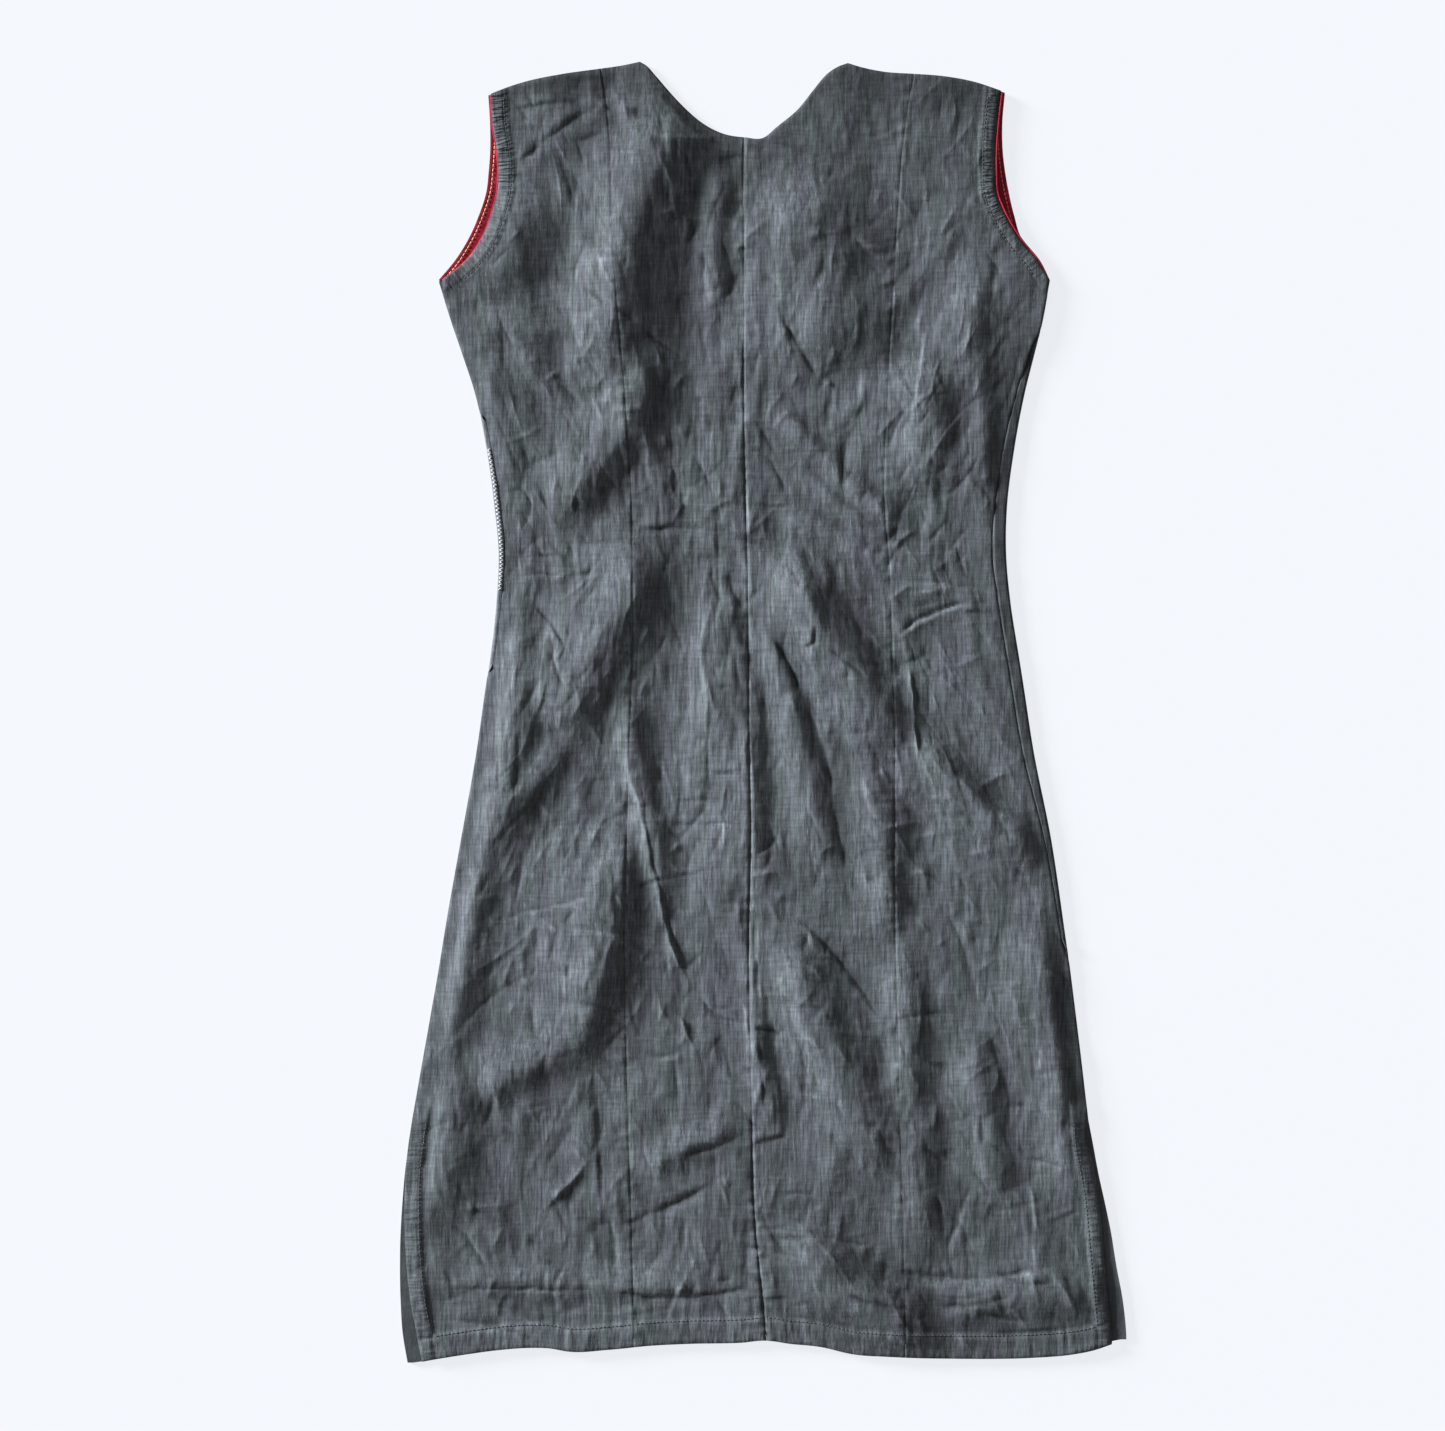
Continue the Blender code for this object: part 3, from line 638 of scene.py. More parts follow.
ORANGE_THREAD = thread_colour("orange_topstitch_thread", (0.74, 0.30, 0.17, 1), 0.5)
inwards = np.linspace(0, 1, 44) ** 1.5
edge = inwards[None, :] * FACING_WIDTH
for side in ("left", "right"):
    for layer, base in (("front", WALL + GAP), ("back", WALL + FACING_WALL + 2 * GAP)):
        across, down = facing_grid(side, layer, np.linspace(0, 1, 150), inwards)
        wrinkle = 0.22 * rumple(down / 4.0, edge / 9, 31) + 0.16 * rumple(down / 9, edge / 5, 32)
        groove = 0.35 * np.exp(-(((edge - TOPSTITCH_IN) / 0.8) ** 2)) if layer == "front" else 0
        rounded = 0.2 * np.exp(-edge / 0.9)
        if layer == "back":
            rounded = rounded - PIPING_RISE[side] * np.exp(-(((edge - 0.9) / 0.75) ** 2))
        height = base + FACING_WALL - 0.15 + wrinkle * ramp(edge, 0, 2) - groove - rounded
        if side == "right":
            across, down, height = across[:, ::-1], down[:, ::-1], height[:, ::-1]
        top = placed(across, down, height)
        under = placed(across, down, np.full(across.shape, base))
        tone = np.full(across.shape, FACING_PAINTED_LIGHT_AND_SHADE[layer + "_" + side])
        name = "armhole_facing_" + layer + "_" + side
        piece = lay_cloth(name + "_cloth", top, tone, RED, under=under)
        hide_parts(name)
        if layer == "back":
            continue
        along = np.linspace(0.005, 0.985, 240)
        across, down = facing_grid(side, layer, along, [TOPSTITCH_IN / FACING_WIDTH])
        line = placed(across[:, 0], down[:, 0], np.full(len(along), base + FACING_WALL - 0.3))
        starts, ends = spaced(line, pitch=0.0034, length=0.0027)
        name = "armhole_topstitch_" + side
        thread = sewn(name, starts, ends, width=0.0008, lift=0.0004, material=ORANGE_THREAD)

# The back of the dress, the layer that shows: two centre panels and two side panels of
# the same cloth, joined by a centre seam and two shaped seams that fit the waist. It was
# never ironed, so broad folds, sharp creases and fine crumples run all over it.
HALF_SEAM = 0.05
SEAMS = [
    ("down", "left", "centre", "right"),
    (0, -123, -14, 116),
    (35, -118, -14, 109),
    (66, -115.5, -14.3, 105),
    (99, -115, -14.5, 102.5),
    (165, -111.5, -14.5, 98.5),
    (248, -104.5, -14.5, 94),
    (338, -99, -13, 91.7),
    (372, -98.5, -12, 94.5),
    (451, -98.5, -11, 97.5),
    (519, -101, -10.3, 99.5),
    (587, -102.8, -9.3, 99.2),
    (655, -104.3, -10.7, 99.7),
    (791, -102.3, -8.7, 103),
    (882, -99.2, -5.5, 105.5),
    (935, -98, 0, 107),
    (983, -97, 4, 107.5),
]
NECKS["back"] = [
    ("across", "down"),
    (-93, 0), (-88, 3), (-81, 10.6), (-72, 21.1), (-60, 34), (-45, 46.8), (-31, 54),
    (-14, 57), (1, 57), (10, 49.5), (28, 34), (37, 22.6), (48, 9.5), (56, 4), (64, 1),
]
HEMS["back"] = [
    ("across", "down"),
    (-262, 981.5), (-230, 976.2), (-203, 972.4), (-176, 970.3), (-162, 970.6), (-146, 973.2),
    (-116, 971.7), (-85, 968.7), (-54, 967.2), (-17, 966.4), (3, 964.8), (20, 967.2),
    (42, 969.4), (69, 975.3), (96, 977), (150, 978.5), (205, 977.7), (232, 975.5),
    (251, 971.7), (264, 967.2),
]
# Broad folds: crest line, gentle slope on its left, steep one on its right, height.
FOLDS = [
    ("x0", "d0", "x1", "d1", "x2", "d2", "gentle", "steep", "height"),
    (-42, 17, -102, 121, -114, 274, 30, 30, 11),
    (-97, 183, -103, 268, -172, 348, 26, 18, 6.5),
    (-30, 63, -37, 127, -33, 203, 12, 12, 3.4),
    (-171, 89, -189, 135, -212, 180, 30, 24, 4.2),
    (-134, 212, -178, 202, -222, 194, 14, 10, 2.6),
    (-215, 218, -210, 276, -187, 327, 16, 16, 4),
    (-82, 345, -118, 430, -164, 527, 34, 22, 8.4),
    (-135, 490, -177, 549, -225, 615, 20, 11, 3.8),
    (-209, 572, -227, 663, -247, 767, 14, 16, 3.8),
    (-121, 436, -94, 533, -67, 667, 16, 10, 3.2),
    (-108, 564, -119, 669, -156, 769, 44, 16, 7.2),
    (-123, 713, -168, 751, -230, 780, 20, 15, 4.8),
    (1, 357, 48, 436, 114, 538, 26, 23, 8.8),
    (92, 497, 155, 553, 221, 616, 24, 13, 6.4),
    (7, 73, 36, 156, 57, 246, 40, 42, 8),
    (122, 210, 128, 272, 139, 334, 30, 22, 6.4),
    (1, 243, 60, 314, 134, 368, 12, 8, 3.1),
    (19, 296, 79, 353, 147, 392, 10, 7, 2.6),
    (3, 334, 74, 368, 188, 423, 12, 8, 2.8),
    (-13, 382, 21, 485, 53, 643, 14, 13, 4),
    (-35, 362, -17, 496, -8, 648, 28, 12, 3.2),
    (64, 504, 91, 582, 91, 677, 14, 14, 3.9),
    (2, 636, 43, 733, 104, 863, 24, 25, 6.6),
    (105, 641, 111, 776, 130, 920, 16, 14, 4),
    (152, 716, 169, 801, 180, 881, 14, 14, 3.6),
    (12, 872, 68, 930, 146, 968, 20, 20, 7.6),
    (274, 932, 197, 928, 117, 943, 20, 16, 4.2),
    (3, 917, -131, 922, -279, 918, 14, 9, 3.1),
    (-10, 795, -55, 817, -100, 837, 14, 10, 3),
    (-10, 641, -4, 733, 7, 817, 10, 10, 3),
    (-227, 752, -234, 822, -244, 887, 20, 18, 3.9),
    (163, 135, 160, 233, 174, 359, 40, 12, 3.6),
    (-174, 400, -189, 505, -208, 620, 24, 24, 4.2),
    (203, 610, 221, 740, 238, 880, 30, 14, 3.8),
]
# Sharp creases: line, width, and height above the cloth or depth below it.
CREASES = [
    ("x0", "d0", "x1", "d1", "x2", "d2", "width", "height"),
    (-138, 170, -113, 186, -93, 200, 2.2, -1.1), (-93, 200, -81, 210, -54, 227, 2.2, -1.1),
    (-122, 32, -153, 51, -190, 82, 3, -0.8), (-196, 37, -162, 32, -131, 28, 2, -0.7),
    (10, 182, 24, 210, 46, 246, 2.6, -0.9), (-45, 140, -44, 165, -41, 188, 3, -1),
    (-30, 180, -23, 171, -17, 158, 3, -0.8), (66, 129, 81, 146, 97, 159, 2.6, -0.7),
    (125, 190, 120, 225, 113, 273, 2.2, 0.9), (-96, 355, -63, 351, -30, 354, 2.4, -1.1),
    (-193, 387, -146, 387, -101, 385, 1.8, -0.6), (-192, 371, -172, 372, -155, 372, 1.8, -0.6),
    (-141, 365, -120, 363, -99, 361, 1.8, -0.6), (-199, 326, -176, 328, -183, 357, 1.8, -0.6),
    (-72, 218, -69, 285, -65, 348, 1.8, -0.6), (-54, 294, -39, 322, -30, 355, 3.4, -1),
    (-24, 381, -23, 399, -12, 415, 3.6, -1.2), (-131, 307, -144, 331, -137, 342, 2.2, 0.7),
    (-12, 295, 5, 301, 18, 331, 2.4, -0.9), (-12, 334, 5, 335, 22, 336, 1.6, -0.5),
    (98, 391, 137, 394, 175, 399, 2, -0.8), (141, 366, 156, 373, 172, 379, 2, -0.6),
    (99, 437, 129, 415, 165, 409, 1.8, -1.1), (151, 416, 164, 416, 177, 418, 1.8, -0.8),
    (2, 427, 17, 451, 32, 485, 3, -1.6), (32, 485, 49, 531, 52, 562, 3.4, -1.6),
    (52, 562, 58, 588, 64, 612, 2.6, -1), (26, 442, 37, 438, 40, 421, 2.2, -0.8),
    (48, 442, 64, 454, 79, 467, 2.6, -1), (110, 454, 114, 493, 116, 530, 2, 1.1),
    (-174, 409, -159, 426, -147, 448, 1.8, -0.9), (-155, 437, -156, 458, -138, 486, 1.8, -0.9),
    (-184, 502, -186, 542, -193, 576, 2.4, -0.7), (-180, 590, -183, 618, -190, 643, 2.4, -0.7),
    (-107, 512, -93, 565, -81, 609, 4, 1.4), (-81, 609, -69, 667, -48, 705, 3.6, 1.2),
    (-93, 535, -76, 633, -48, 708, 1.8, -0.9), (-48, 705, -35, 719, -12, 726, 1.8, -1),
    (-214, 652, -153, 635, -117, 627, 1.6, -0.5), (-117, 627, -75, 617, -24, 606, 1.6, -0.5),
    (-72, 557, -48, 558, -20, 558, 1.6, -0.5), (-99, 575, -55, 575, -12, 573, 1.6, -0.5),
    (-39, 536, -26, 537, -14, 538, 1.8, -0.5), (-8, 729, 4, 731, 16, 735, 3, -1.3),
    (-5, 733, -1, 765, 2, 794, 2.6, -1), (-6, 633, -5, 678, -2, 723, 1.8, -0.7),
    (16, 641, 51, 670, 88, 723, 3, -1), (76, 548, 79, 565, 94, 581, 2.4, -0.8),
    (-6, 599, 5, 591, 14, 581, 2.2, -0.7), (-65, 715, -57, 734, -48, 751, 2.6, 0.9),
    (-245, 926, -183, 926, -116, 927, 2.6, -1.1), (-116, 927, -55, 932, 2, 920, 2.4, -1),
    (-245, 948, -199, 955, -160, 971, 2.4, -1.5), (-234, 875, -219, 893, -205, 916, 2.6, -0.9),
    (-127, 769, -123, 824, -121, 863, 2.4, -0.8), (-121, 863, -113, 883, -112, 916, 2.4, -0.8),
    (-61, 825, -36, 819, -10, 807, 3.4, -1.2), (-109, 879, -66, 861, -35, 844, 4, -1.4),
    (-171, 871, -149, 850, -127, 824, 3, 1), (-10, 816, 5, 814, 20, 809, 2.2, -0.8),
    (13, 855, 28, 854, 42, 854, 2.2, -0.7), (2, 886, 20, 887, 39, 886, 2.2, -0.7),
    (90, 911, 164, 917, 225, 905, 3.4, -1.5), (159, 842, 147, 874, 134, 910, 2.4, -0.8),
    (123, 937, 160, 938, 192, 928, 4, -1.5), (167, 960, 202, 958, 236, 956, 2, -0.8),
    (200, 827, 217, 831, 233, 837, 2.2, -0.7), (214, 875, 226, 872, 239, 867, 2.2, -0.7),
    (200, 842, 204, 863, 207, 886, 2.6, 0.8), (130, 853, 136, 871, 137, 889, 2.8, -0.8),
    (163, 790, 165, 805, 165, 820, 2.8, -0.8), (-21, 878, 2, 880, 28, 876, 2, -0.6),
    (-17, 906, 5, 903, 32, 907, 2, -0.6), (-19, 935, 2, 932, 32, 936, 2, -0.6),
    (-17, 893, 8, 897, 34, 903, 3.4, -1.2), (81, 905, 112, 914, 146, 918, 3.6, -1.3),
    (150, 941, 176, 947, 208, 951, 3.4, -0.8), (176, 915, 200, 921, 224, 919, 3, -0.8),
    (44, 884, 62, 890, 84, 893, 2.4, -0.8), (60, 928, 84, 936, 116, 941, 3, -1),
]
# Spots of painted shade, as on the shoulder tops, below the neck and near the hem, and of painted light
# where the amount is below zero.
PAINTED_SHADE_AND_LIGHT_SPOTS = [
    ("across", "down", "wide", "deep", "amount"),
    (-150, 12, 60, 16, 0.4), (120, 12, 72, 22, 0.6), (-42, 80, 34, 52, 0.24),
    (70, 905, 26, 16, 0.18), (112, 935, 32, 14, 0.18), (40, 40, 170, 60, 0.24),
    (-62, 560, 60, 130, -0.27), (-200, 400, 50, 130, -0.06), (110, 880, 110, 70, 0.16),
    (90, 110, 55, 60, 0.12), (110, 945, 90, 26, 0.26), (240, 930, 34, 45, 0.22),
    (-170, 925, 90, 10, 0.14), (-215, 170, 26, 40, 0.14), (190, 230, 16, 120, 0.16),
    (236, 760, 14, 120, 0.16), (-226, 850, 30, 60, 0.12),
]
REST_LIFT = WALL + GAP
FACING_LIFT = WALL + 2 * FACING_WALL + 3 * GAP
TURNED_LIFT = 2 * WALL + GAP
FOLD_POWER = 3
ARMHOLE_STITCH = 9.5
SMALL_CREASES = 1500
# How far in or down the back is lifted by what lies under it: full, and not at all.
FACING_REACH, FACING_END = (50.0, 96.0), (212.0, 262.0)
ROLL_REACH, ROLL_BESIDE = (14.0, 40.0), (258.0, 274.0, 450.0, 468.0)
HEM_REACH = (50.0, 24.0)
SLIT_REACH, SLIT_RISE = (18.0, 44.0), (728.0, 758.0)


def from_line(across, down, line, reach):
    """Distance from a line, positive on its right going down, and the length run along it."""
    near = (across > line[:, 0].min() - reach) & (across < line[:, 0].max() + reach)
    near &= (down > line[:, 1].min() - reach) & (down < line[:, 1].max() + reach)
    x, y = across[near], down[near]
    best = np.full(x.shape, np.inf)
    signed, along, start = best.copy(), np.zeros(x.shape), 0.0
    for a, b in zip(line[:-1], line[1:]):
        step = b - a
        length = np.hypot(*step)
        t = np.clip(((x - a[0]) * step[0] + (y - a[1]) * step[1]) / length**2, 0, 1)
        off_x, off_y = x - a[0] - t * step[0], y - a[1] - t * step[1]
        distance = np.hypot(off_x, off_y)
        closer = distance < best
        best = np.where(closer, distance, best)
        signed = np.where(closer, distance * np.sign(off_x * step[1] - off_y * step[0]), signed)
        along = np.where(closer, start + t * length, along)
        start += length
    away, run = np.full(across.shape, 1e6), np.zeros(across.shape)
    away[near], run[near] = signed, along
    return away, run, start


def bent(row, steps):
    """Points of a curve through the three places of a table's row."""
    x0, d0, x1, d1, x2, d2 = row[:6]
    t = np.linspace(0, 1, steps)[:, None]
    middle = np.array([2 * x1 - (x0 + x2) / 2, 2 * d1 - (d0 + d2) / 2])
    return (1 - t) ** 2 * np.array([x0, d0]) + 2 * t * (1 - t) * middle + t * t * np.array([x2, d2])


def fold_height(across, down):
    """Height of the broad folds, which fade at the side seams, the shoulders and the neck."""
    total = np.zeros_like(across)
    for row in FOLDS[1:]:
        gentle, steep, peak = row[6:]
        away, run, length = from_line(across, down, bent(row, 12), 3.2 * max(gentle, steep))
        width = np.where(away < 0, gentle, steep)
        along = ramp(run, 0, 0.3 * length) * ramp(length - run, 0, 0.3 * length)
        total += (peak * np.exp(-((away / width) ** 2)) * along) ** FOLD_POWER
    height = total ** (1 / FOLD_POWER)
    left = across - outline("left", "front", down)
    right = outline("right", "front", down) - across
    fade = ramp(np.minimum(left, right), 1.0, 22.0)
    return height * fade * ramp(down - top_edge(across, "back"), 0, 14.0)


def back_lie(across, down):
    """Height of the underside of the back over what lies beneath it."""
    left = across - outline("left", "front", down)
    right = outline("right", "front", down) - across
    inset = np.minimum(left, right)
    facing = (1 - ramp(inset, *FACING_REACH)) * (1 - ramp(down, *FACING_END))
    rolls = (curve(SIDES, "left_roll", down), curve(SIDES, "right_roll", down))
    rolled = np.clip(np.where(left < right, *rolls) / 2.6, 0, 1) * (down < SLIT_TOP)
    roll = (1 - ramp(inset, *ROLL_REACH)) * rolled
    hem_line = hem_edge(across, "front")
    hem = ramp(down, hem_line - HEM_REACH[0], hem_line - HEM_REACH[1])
    slit = (1 - ramp(inset, *SLIT_REACH)) * ramp(down, *SLIT_RISE)
    lifts = [
        facing * (FACING_LIFT - REST_LIFT),
        roll * (2 * EDGE_RADIUS - REST_LIFT),
        np.maximum(hem, slit) * (TURNED_LIFT - REST_LIFT),
    ]
    return REST_LIFT + np.maximum.reduce(lifts)


def crease_height(across, down):
    """Relief of the sharp creases, each uneven along its length and soft at its ends."""
    x = across + 1.1 * rumple(across / 12, down / 12, 41)
    y = down + 1.1 * rumple(across / 12, down / 12, 42)
    height = np.zeros_like(across)
    for number, row in enumerate(CREASES[1:]):
        width, peak = row[6:]
        level_share = abs(row[4] - row[0]) / math.hypot(row[4] - row[0], row[5] - row[1])
        peak *= 1.6 + 0.3 * level_share
        away, run, length = from_line(x, y, bent(row, 9), 9 * width)
        uneven = np.maximum(0.85 + 0.8 * rumple(run / 19, 0 * run + number * 3.7, 43), 0.3)
        soft = ramp(run, 0, 0.3 * length) * ramp(length - run, 0, 0.3 * length) * uneven
        steep_on_right = number % 2 == 1
        wide = width * np.where((away > 0) == steep_on_right, 0.75, 2.0)
        sharp = np.exp(-np.abs(away) / wide) - 0.3 * np.exp(-((away / (3.2 * width)) ** 2))
        height += peak * soft * sharp
    return height


def small_creases(across, down):
    """Relief of short sharp creases that fan out from the waist, one in four across the fan."""
    chance = np.random.default_rng(11)
    height = np.zeros_like(across)
    for number in range(SMALL_CREASES):
        x, d = chance.uniform(-270, 270), chance.uniform(5, 975)
        below = 1 if d > WAIST_DOWN else -1
        fan = math.atan2((x - WAIST_ACROSS) * 0.9, 150 + abs(d - WAIST_DOWN)) * below
        angle = fan + chance.normal(0, 0.32) + (1.45 if number % 4 == 0 else 0)
        half = 0.5 * min(11 * math.exp(chance.normal(0.8, 0.5)), 80)
        width = chance.uniform(1.1, 3.6)
        peak = chance.choice([-1, 1]) * width * chance.uniform(0.14, 0.36)
        bow = chance.normal(0, 0.12) * half
        step = np.array([math.sin(angle), math.cos(angle)])
        middle = np.array([x + bow * step[1], d - bow * step[0]])
        row = (*(np.array([x, d]) - half * step), *middle, *(np.array([x, d]) + half * step))
        away, run, length = from_line(across, down, bent(row, 6), 5 * width)
        fade = np.sin(np.pi * np.clip(run / length, 0, 1))
        height += peak * fade * np.exp(-np.abs(away) / width)
    return height


def seam_height(across, down):
    """Relief along the three long seams: a narrow groove, the turnings beside it, puckers."""
    height = np.zeros_like(across)
    for seam, lean, depth in (("left", -1, 0.26), ("centre", 1, 0.6), ("right", 1, 0.26)):
        away = across - curve(SEAMS, seam, down)
        pulled = 0.9 + 0.9 * rumple(down / 55, 0 * down + depth, 71)
        groove = -depth * np.maximum(pulled, 0.2) * np.exp(-((away / 1.1) ** 2))
        turning = 0.6 * depth * ramp(lean * away, 0.2, 1.6) * (1 - ramp(lean * away, 9, 15))
        pucker = 0.5 * rumple(away / 12, down / 6.5, 51 + lean) * np.exp(-np.abs(away) / 7)
        if seam == "centre":
            pucker *= 1 + 1.3 * ramp(down, 830, 890)
        height += groove + turning + pucker
    return height


def stronger(puckers, others):
    """Of two sets of run, distance and strength of puckers, the stronger at each point."""
    beside = others[2] > puckers[2]
    return tuple(np.where(beside, new, old) for new, old in zip(others, puckers))


def edge_height(across, down):
    """Relief of the stitched edges, and the run, distance and strength of their puckers."""
    below = hem_edge(across, "back") - down
    height = -0.4 * np.exp(-(((below - HEM_DEPTH) / 1.2) ** 2))
    height += 0.3 * rumple(across / 9, below / 26, 61) * (1 - ramp(below, 15, 24))
    amount = 0.25 - 0.25 * ramp(below, HEM_DEPTH - 1, HEM_DEPTH + 7)
    puckers = (0.5 * across, below, amount)
    depths = np.linspace(22, 165, 60)
    for side, sign in (("left", 1), ("right", -1)):
        inset = sign * (across - outline(side, "back", down))
        open_part = ramp(down, 790, 806)
        height += open_part * -0.5 * np.exp(-(((inset - SLIT_BAND) / 1.2) ** 2))
        amount = 0.45 * open_part * (1 - ramp(inset, SLIT_BAND - 1, SLIT_BAND + 6))
        puckers = stronger(puckers, (0.7 * down, inset, amount))
        line = np.stack([curve(ARMHOLE, "back_" + side, depths), depths], axis=1)
        inside, along, _ = from_line(across, down, line, 30)
        inside = np.abs(inside)
        height -= 0.28 * np.exp(-(((inside - ARMHOLE_STITCH) / 1.2) ** 2))
        plain = 0.6 * ramp(down, 135, 162) if side == "left" else 0.85 * ramp(down, 100, 130)
        amount = (1 - ramp(inside, ARMHOLE_STITCH - 2, ARMHOLE_STITCH + 5)) * (1 - plain)
        puckers = stronger(puckers, (along, inside, amount))
    for seam in ("left", "centre", "right"):
        beside = across - curve(SEAMS, seam, down)
        amount = 0.25 * np.exp(-np.abs(beside) / 6) * (0.6 + rumple(down / 60, 0 * down, 64))
        puckers = stronger(puckers, (0.5 * down, beside, amount))
    run, away, amount = puckers
    return height, np.stack([run, away, np.maximum(amount, 0)], axis=-1)


def smoothed(grid, reach):
    """Grid averaged over neighbours up to a reach of rows and columns."""
    for axis in (0, 1):
        grid = np.moveaxis(grid, axis, 0)
        padded = np.concatenate([grid[:1].repeat(reach, 0), grid, grid[-1:].repeat(reach, 0)])
        total = np.cumsum(np.concatenate([np.zeros_like(padded[:1]), padded]), axis=0)
        grid = (total[2 * reach + 1 :] - total[: -2 * reach - 1]) / (2 * reach + 1)
        grid = np.moveaxis(grid, 0, axis)
    return grid


back_levels = depth_levels(106, 472, 136)


def back_top(across, down):
    """Height of the upper face of the back, and its puckers."""
    left = across - outline("left", "back", down)
    right = outline("right", "back", down) - across
    inset = np.minimum(left, right)
    above_hem = hem_edge(across, "back") - down
    from_top = down - top_edge(across, "back")
    edge = np.minimum(np.minimum(inset, above_hem), from_top)
    calm = 0.15 + 0.85 * ramp(edge, -4, 30)
    stitched, pucker = edge_height(across, down)
    sharp = crease_height(across, down) + small_creases(across, down)
    relief = calm * (0.8 + crumple(across, down)) + (0.4 + 0.6 * calm) * sharp
    folds = fold_height(across, down)
    deepest = 0.7 + 0.6 * np.minimum(folds, 3)
    relief = 0.5 * np.logaddexp(0, (relief + deepest) / 0.5) - deepest
    relief += seam_height(across, down) + stitched
    first, over, back, last = ROLL_BESIDE
    beside_roll = (across < MIDDLE_ACROSS) * ramp(down, first, over) * (1 - ramp(down, back, last))
    on_right = (across > MIDDLE_ACROSS) * (edge == inset)
    beside_piping = on_right * (1 - ramp(down, 150, 165))
    beside_slit = on_right * ramp(down, 790, 810)
    round_depth = 0.55 + 0.9 * beside_piping + 1.4 * beside_slit
    round_reach = 0.9 + 1.1 * beside_piping + 1.4 * beside_slit
    rounded = round_depth * np.exp(-np.maximum(edge, 0) / round_reach) * (1 - 0.85 * beside_roll)
    doubled = WALL * (1 + turned_band(across, down, "back"))
    return back_lie(across, down) + folds + doubled + relief - rounded, pucker


def back_panel(node, left, right, count, corners, sewing):
    """One panel of the back between two edges, with painted light on its ridges and painted shade in
    its hollows.
    """
    shares = np.unique(np.concatenate([np.linspace(0, 1, count), corners]))
    across, down = plan(left, right, "back", shares, back_levels)
    height, pucker = back_top(across, down)
    # Painted shade in creases and hollows and painted light on ridges and broad rises, from the height
    # against its smoothed height.
    hollow = height - smoothed(smoothed(height, 3), 3)
    broad = height - smoothed(smoothed(height, 12), 12)
    # Painted shade and light of the listed spots.
    painted_spots = np.zeros_like(across)
    for x, d, wide, deep, amount in PAINTED_SHADE_AND_LIGHT_SPOTS[1:]:
        painted_spots += amount * np.exp(-(((across - x) / wide) ** 2) - ((down - d) / deep) ** 2)
    tone = np.clip(0.5 + 0.4 * hollow + 0.04 * broad - painted_spots, 0, 1)
    piece = lay_cloth(node + "_cloth", placed(across, down, height), tone, SLATE, pucker=pucker)
    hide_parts(node)
    return piece


SLATE_THREAD = thread_colour("slate_sewing_thread", (0.060, 0.070, 0.078, 1), 0.6)
ROW_STEPS = 160


def sewn_on_back(name, across, down):
    line = placed(across, down, back_top(across, down)[0])
    starts, ends = spaced(line, pitch=0.0031, length=0.0024)
    thread = sewn(name, starts, ends, width=0.0005, lift=0.00022, material=SLATE_THREAD)
    return thread


def hem_row(name, left, right):
    across = np.linspace(left, right, ROW_STEPS)
    return sewn_on_back("hem_stitches_" + name, across, hem_edge(across, "back") - HEM_DEPTH)


def side_rows(side):
    """Stitching beside the armhole and beside the slit of one side panel."""
    sign = 1 if side == "left" else -1
    depths = np.linspace(27, 158, ROW_STEPS)
    edge = curve(ARMHOLE, "back_" + side, depths)
    slope = np.gradient(edge, depths)
    inward = sign * ARMHOLE_STITCH / np.hypot(1, slope)
    armhole = sewn_on_back("armhole_stitches_" + side, edge + inward, depths - inward * slope)
    depths = np.linspace(800, 955, ROW_STEPS)
    slit_line = outline(side, "back", depths) + sign * SLIT_BAND
    return [armhole, sewn_on_back("slit_stitches_" + side, slit_line, depths)]


back_panel(
    "back_side_left",
    lambda d: outline("left", "back", d),
    lambda d: curve(SEAMS, "left", d) - HALF_SEAM,
    count=130, corners=[],
    sewing=[*side_rows("left"), hem_row("side_left", -248, -99)],
)
back_panel(
    "back_centre_left",
    lambda d: curve(SEAMS, "left", d) + HALF_SEAM,
    lambda d: curve(SEAMS, "centre", d) - HALF_SEAM,
    count=86, corners=[0.275],
    sewing=[hem_row("centre_left", -97, 1)],
)
back_panel(
    "back_centre_right",
    lambda d: curve(SEAMS, "centre", d) + HALF_SEAM,
    lambda d: curve(SEAMS, "right", d) - HALF_SEAM,
    count=98, corners=[0.6],
    sewing=[hem_row("centre_right", 3, 106)],
)
back_panel(
    "back_side_right",
    lambda d: curve(SEAMS, "right", d) + HALF_SEAM,
    lambda d: outline("right", "back", d),
    count=124, corners=[],
    sewing=[*side_rows("right"), hem_row("side_right", 108, 250)],
)

# The overlocked raw edge of the left side seam. It turns to the outside at the waist, so
# its light zigzag thread shows on the narrow strip of the front beside the back.
PALE_THREAD = thread_colour("pale_overlock_thread", (0.42, 0.44, 0.46, 1), 0.6)
OVERLOCK_TOP, OVERLOCK_END, OVERLOCK_STEP = 292, 400, 1.5
corner_down = np.arange(OVERLOCK_TOP, OVERLOCK_END, OVERLOCK_STEP)
roll_width = curve(SIDES, "left_roll", corner_down)
swing = np.where(np.arange(len(corner_down)) % 2, 0.2, 0.8)
corner_across = outline("left", "front", corner_down) + swing * roll_width
strip_top = 2 * EDGE_RADIUS + WALL + 0.35 * rumple(corner_across / 9, corner_down / 13, 21)
corners = placed(corner_across, corner_down, strip_top + 0.1)
starts, ends = corners[:-1], corners[1:]
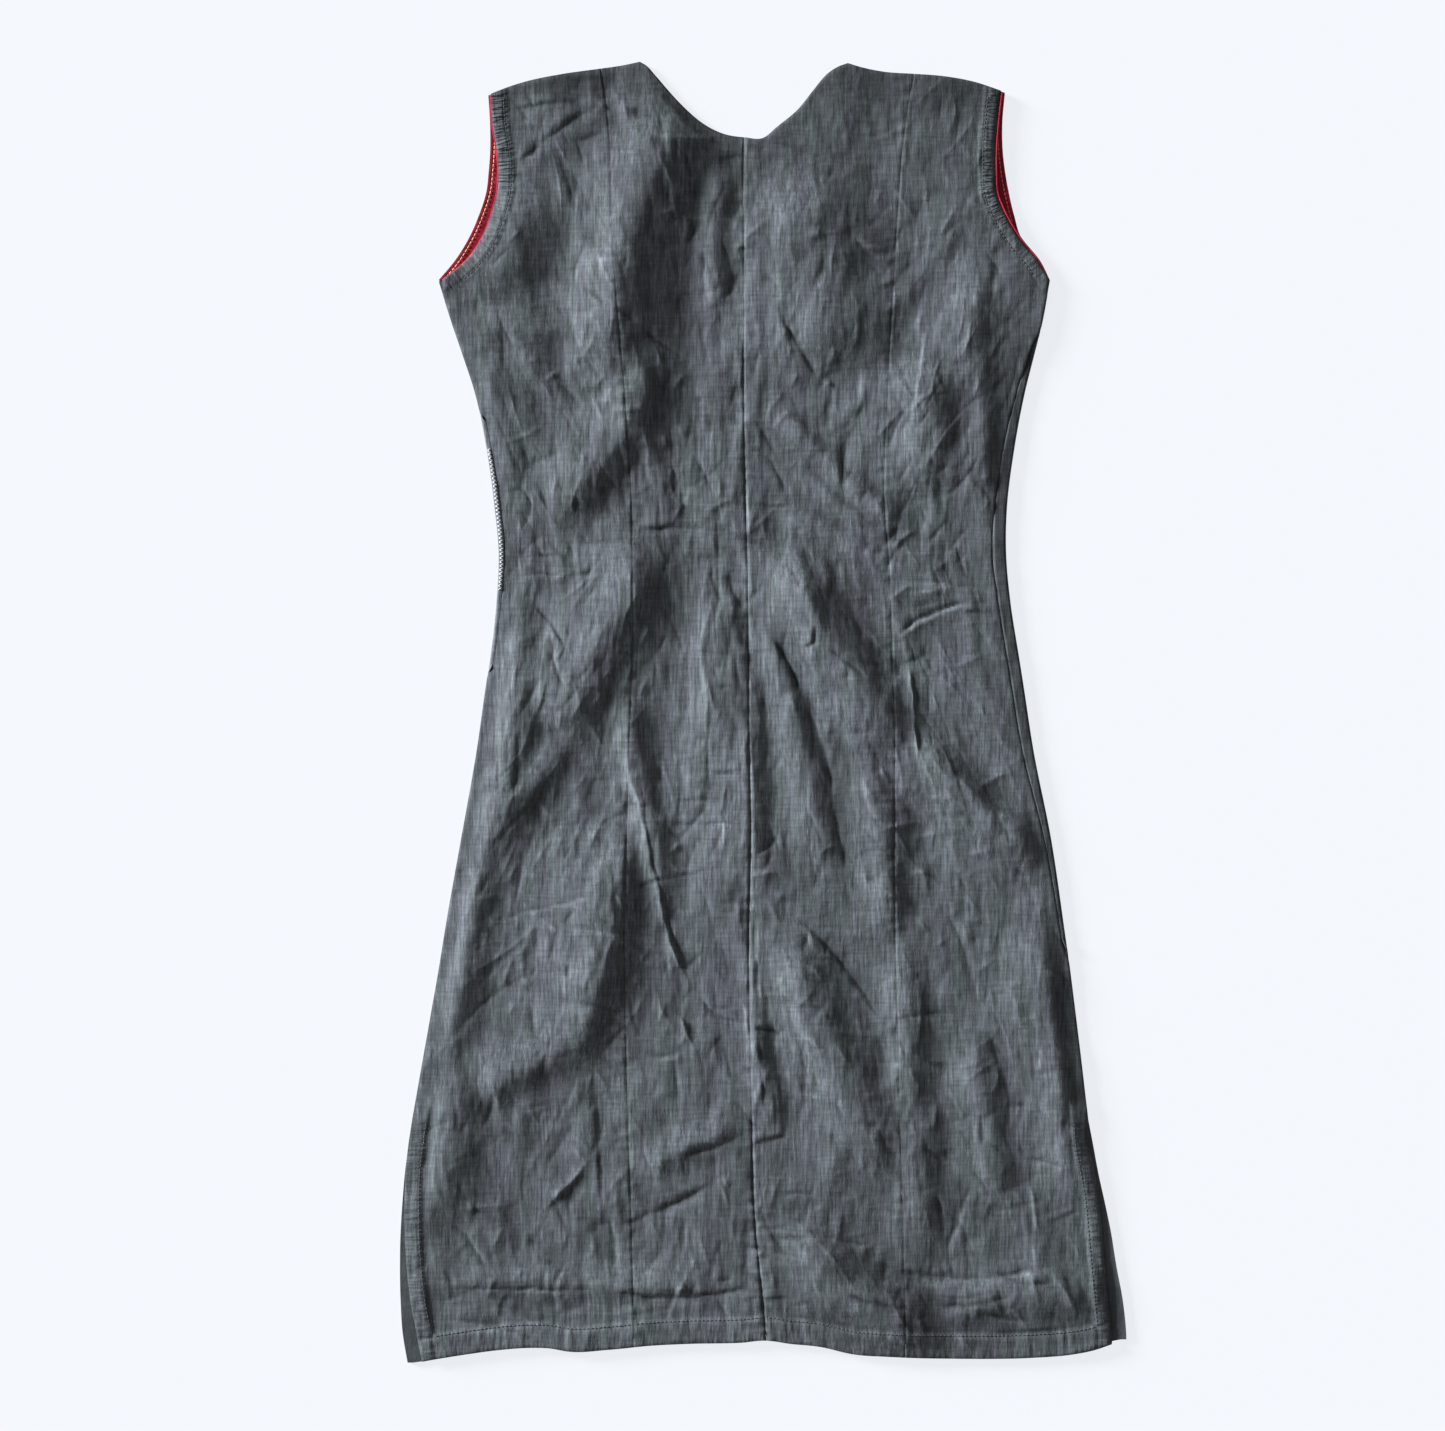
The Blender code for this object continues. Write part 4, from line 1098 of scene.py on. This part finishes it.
overlock = sewn(
    "left_seam_overlock", starts, ends, width=0.0009, lift=0.0003, material=PALE_THREAD
)

# The pale surface that the dress lies on, a low light from the left and a little above, and
# the camera straight above the middle of the picture.
bpy.ops.mesh.primitive_plane_add(size=12, location=(0, 0, -0.0003))
floor = bpy.context.object
floor.name = "pale_floor"
paper = bpy.data.materials.new("pale_floor")
paper.use_nodes = True
matt = paper.node_tree.nodes["Principled BSDF"]
matt.inputs["Base Color"].default_value = (0.12, 0.125, 0.13, 1)
matt.inputs["Emission Color"].default_value = (0.923, 0.951, 1.0, 1)
matt.inputs["Emission Strength"].default_value = 0.855
matt.inputs["Roughness"].default_value = 0.9
matt.inputs["Specular IOR Level"].default_value = 0.1
floor.data.materials.append(paper)

scene = bpy.context.scene
scene.view_settings.view_transform = "Standard"
scene.world = bpy.data.worlds.new("studio")
scene.world.use_nodes = True
sky = scene.world.node_tree.nodes["Background"]
sky.inputs["Color"].default_value = (1.0, 0.98, 0.95, 1)
sky.inputs["Strength"].default_value = 0.19
key = bpy.data.lights.new("soft_key", "SUN")
key.color = (0.96, 0.98, 1.0)
key.energy = 12.2
key.angle = 0.26
key_lamp = bpy.data.objects.new("soft_key", key)
LAMP_RISE, LAMP_TURN = 12.5, 24
rise, turn = math.radians(LAMP_RISE), math.radians(LAMP_TURN)
toward = mathutils.Vector(
    (-math.cos(rise) * math.cos(turn), math.cos(rise) * math.sin(turn), math.sin(rise))
)
key_lamp.rotation_euler = toward.to_track_quat("Z", "Y").to_euler()
scene.collection.objects.link(key_lamp)

PHOTO_PIXELS, METRES_A_PIXEL = 1445, 0.000755
PICTURE_MIDDLE = (-0.0307, -0.0025)
CAMERA_HEIGHT = 4.0
lens = bpy.data.cameras.new("overhead")
lens.sensor_width = 36.0
lens.lens = lens.sensor_width * CAMERA_HEIGHT / (PHOTO_PIXELS * METRES_A_PIXEL)
camera = bpy.data.objects.new("overhead", lens)
camera.location = (*PICTURE_MIDDLE, CAMERA_HEIGHT)
scene.collection.objects.link(camera)
scene.camera = camera
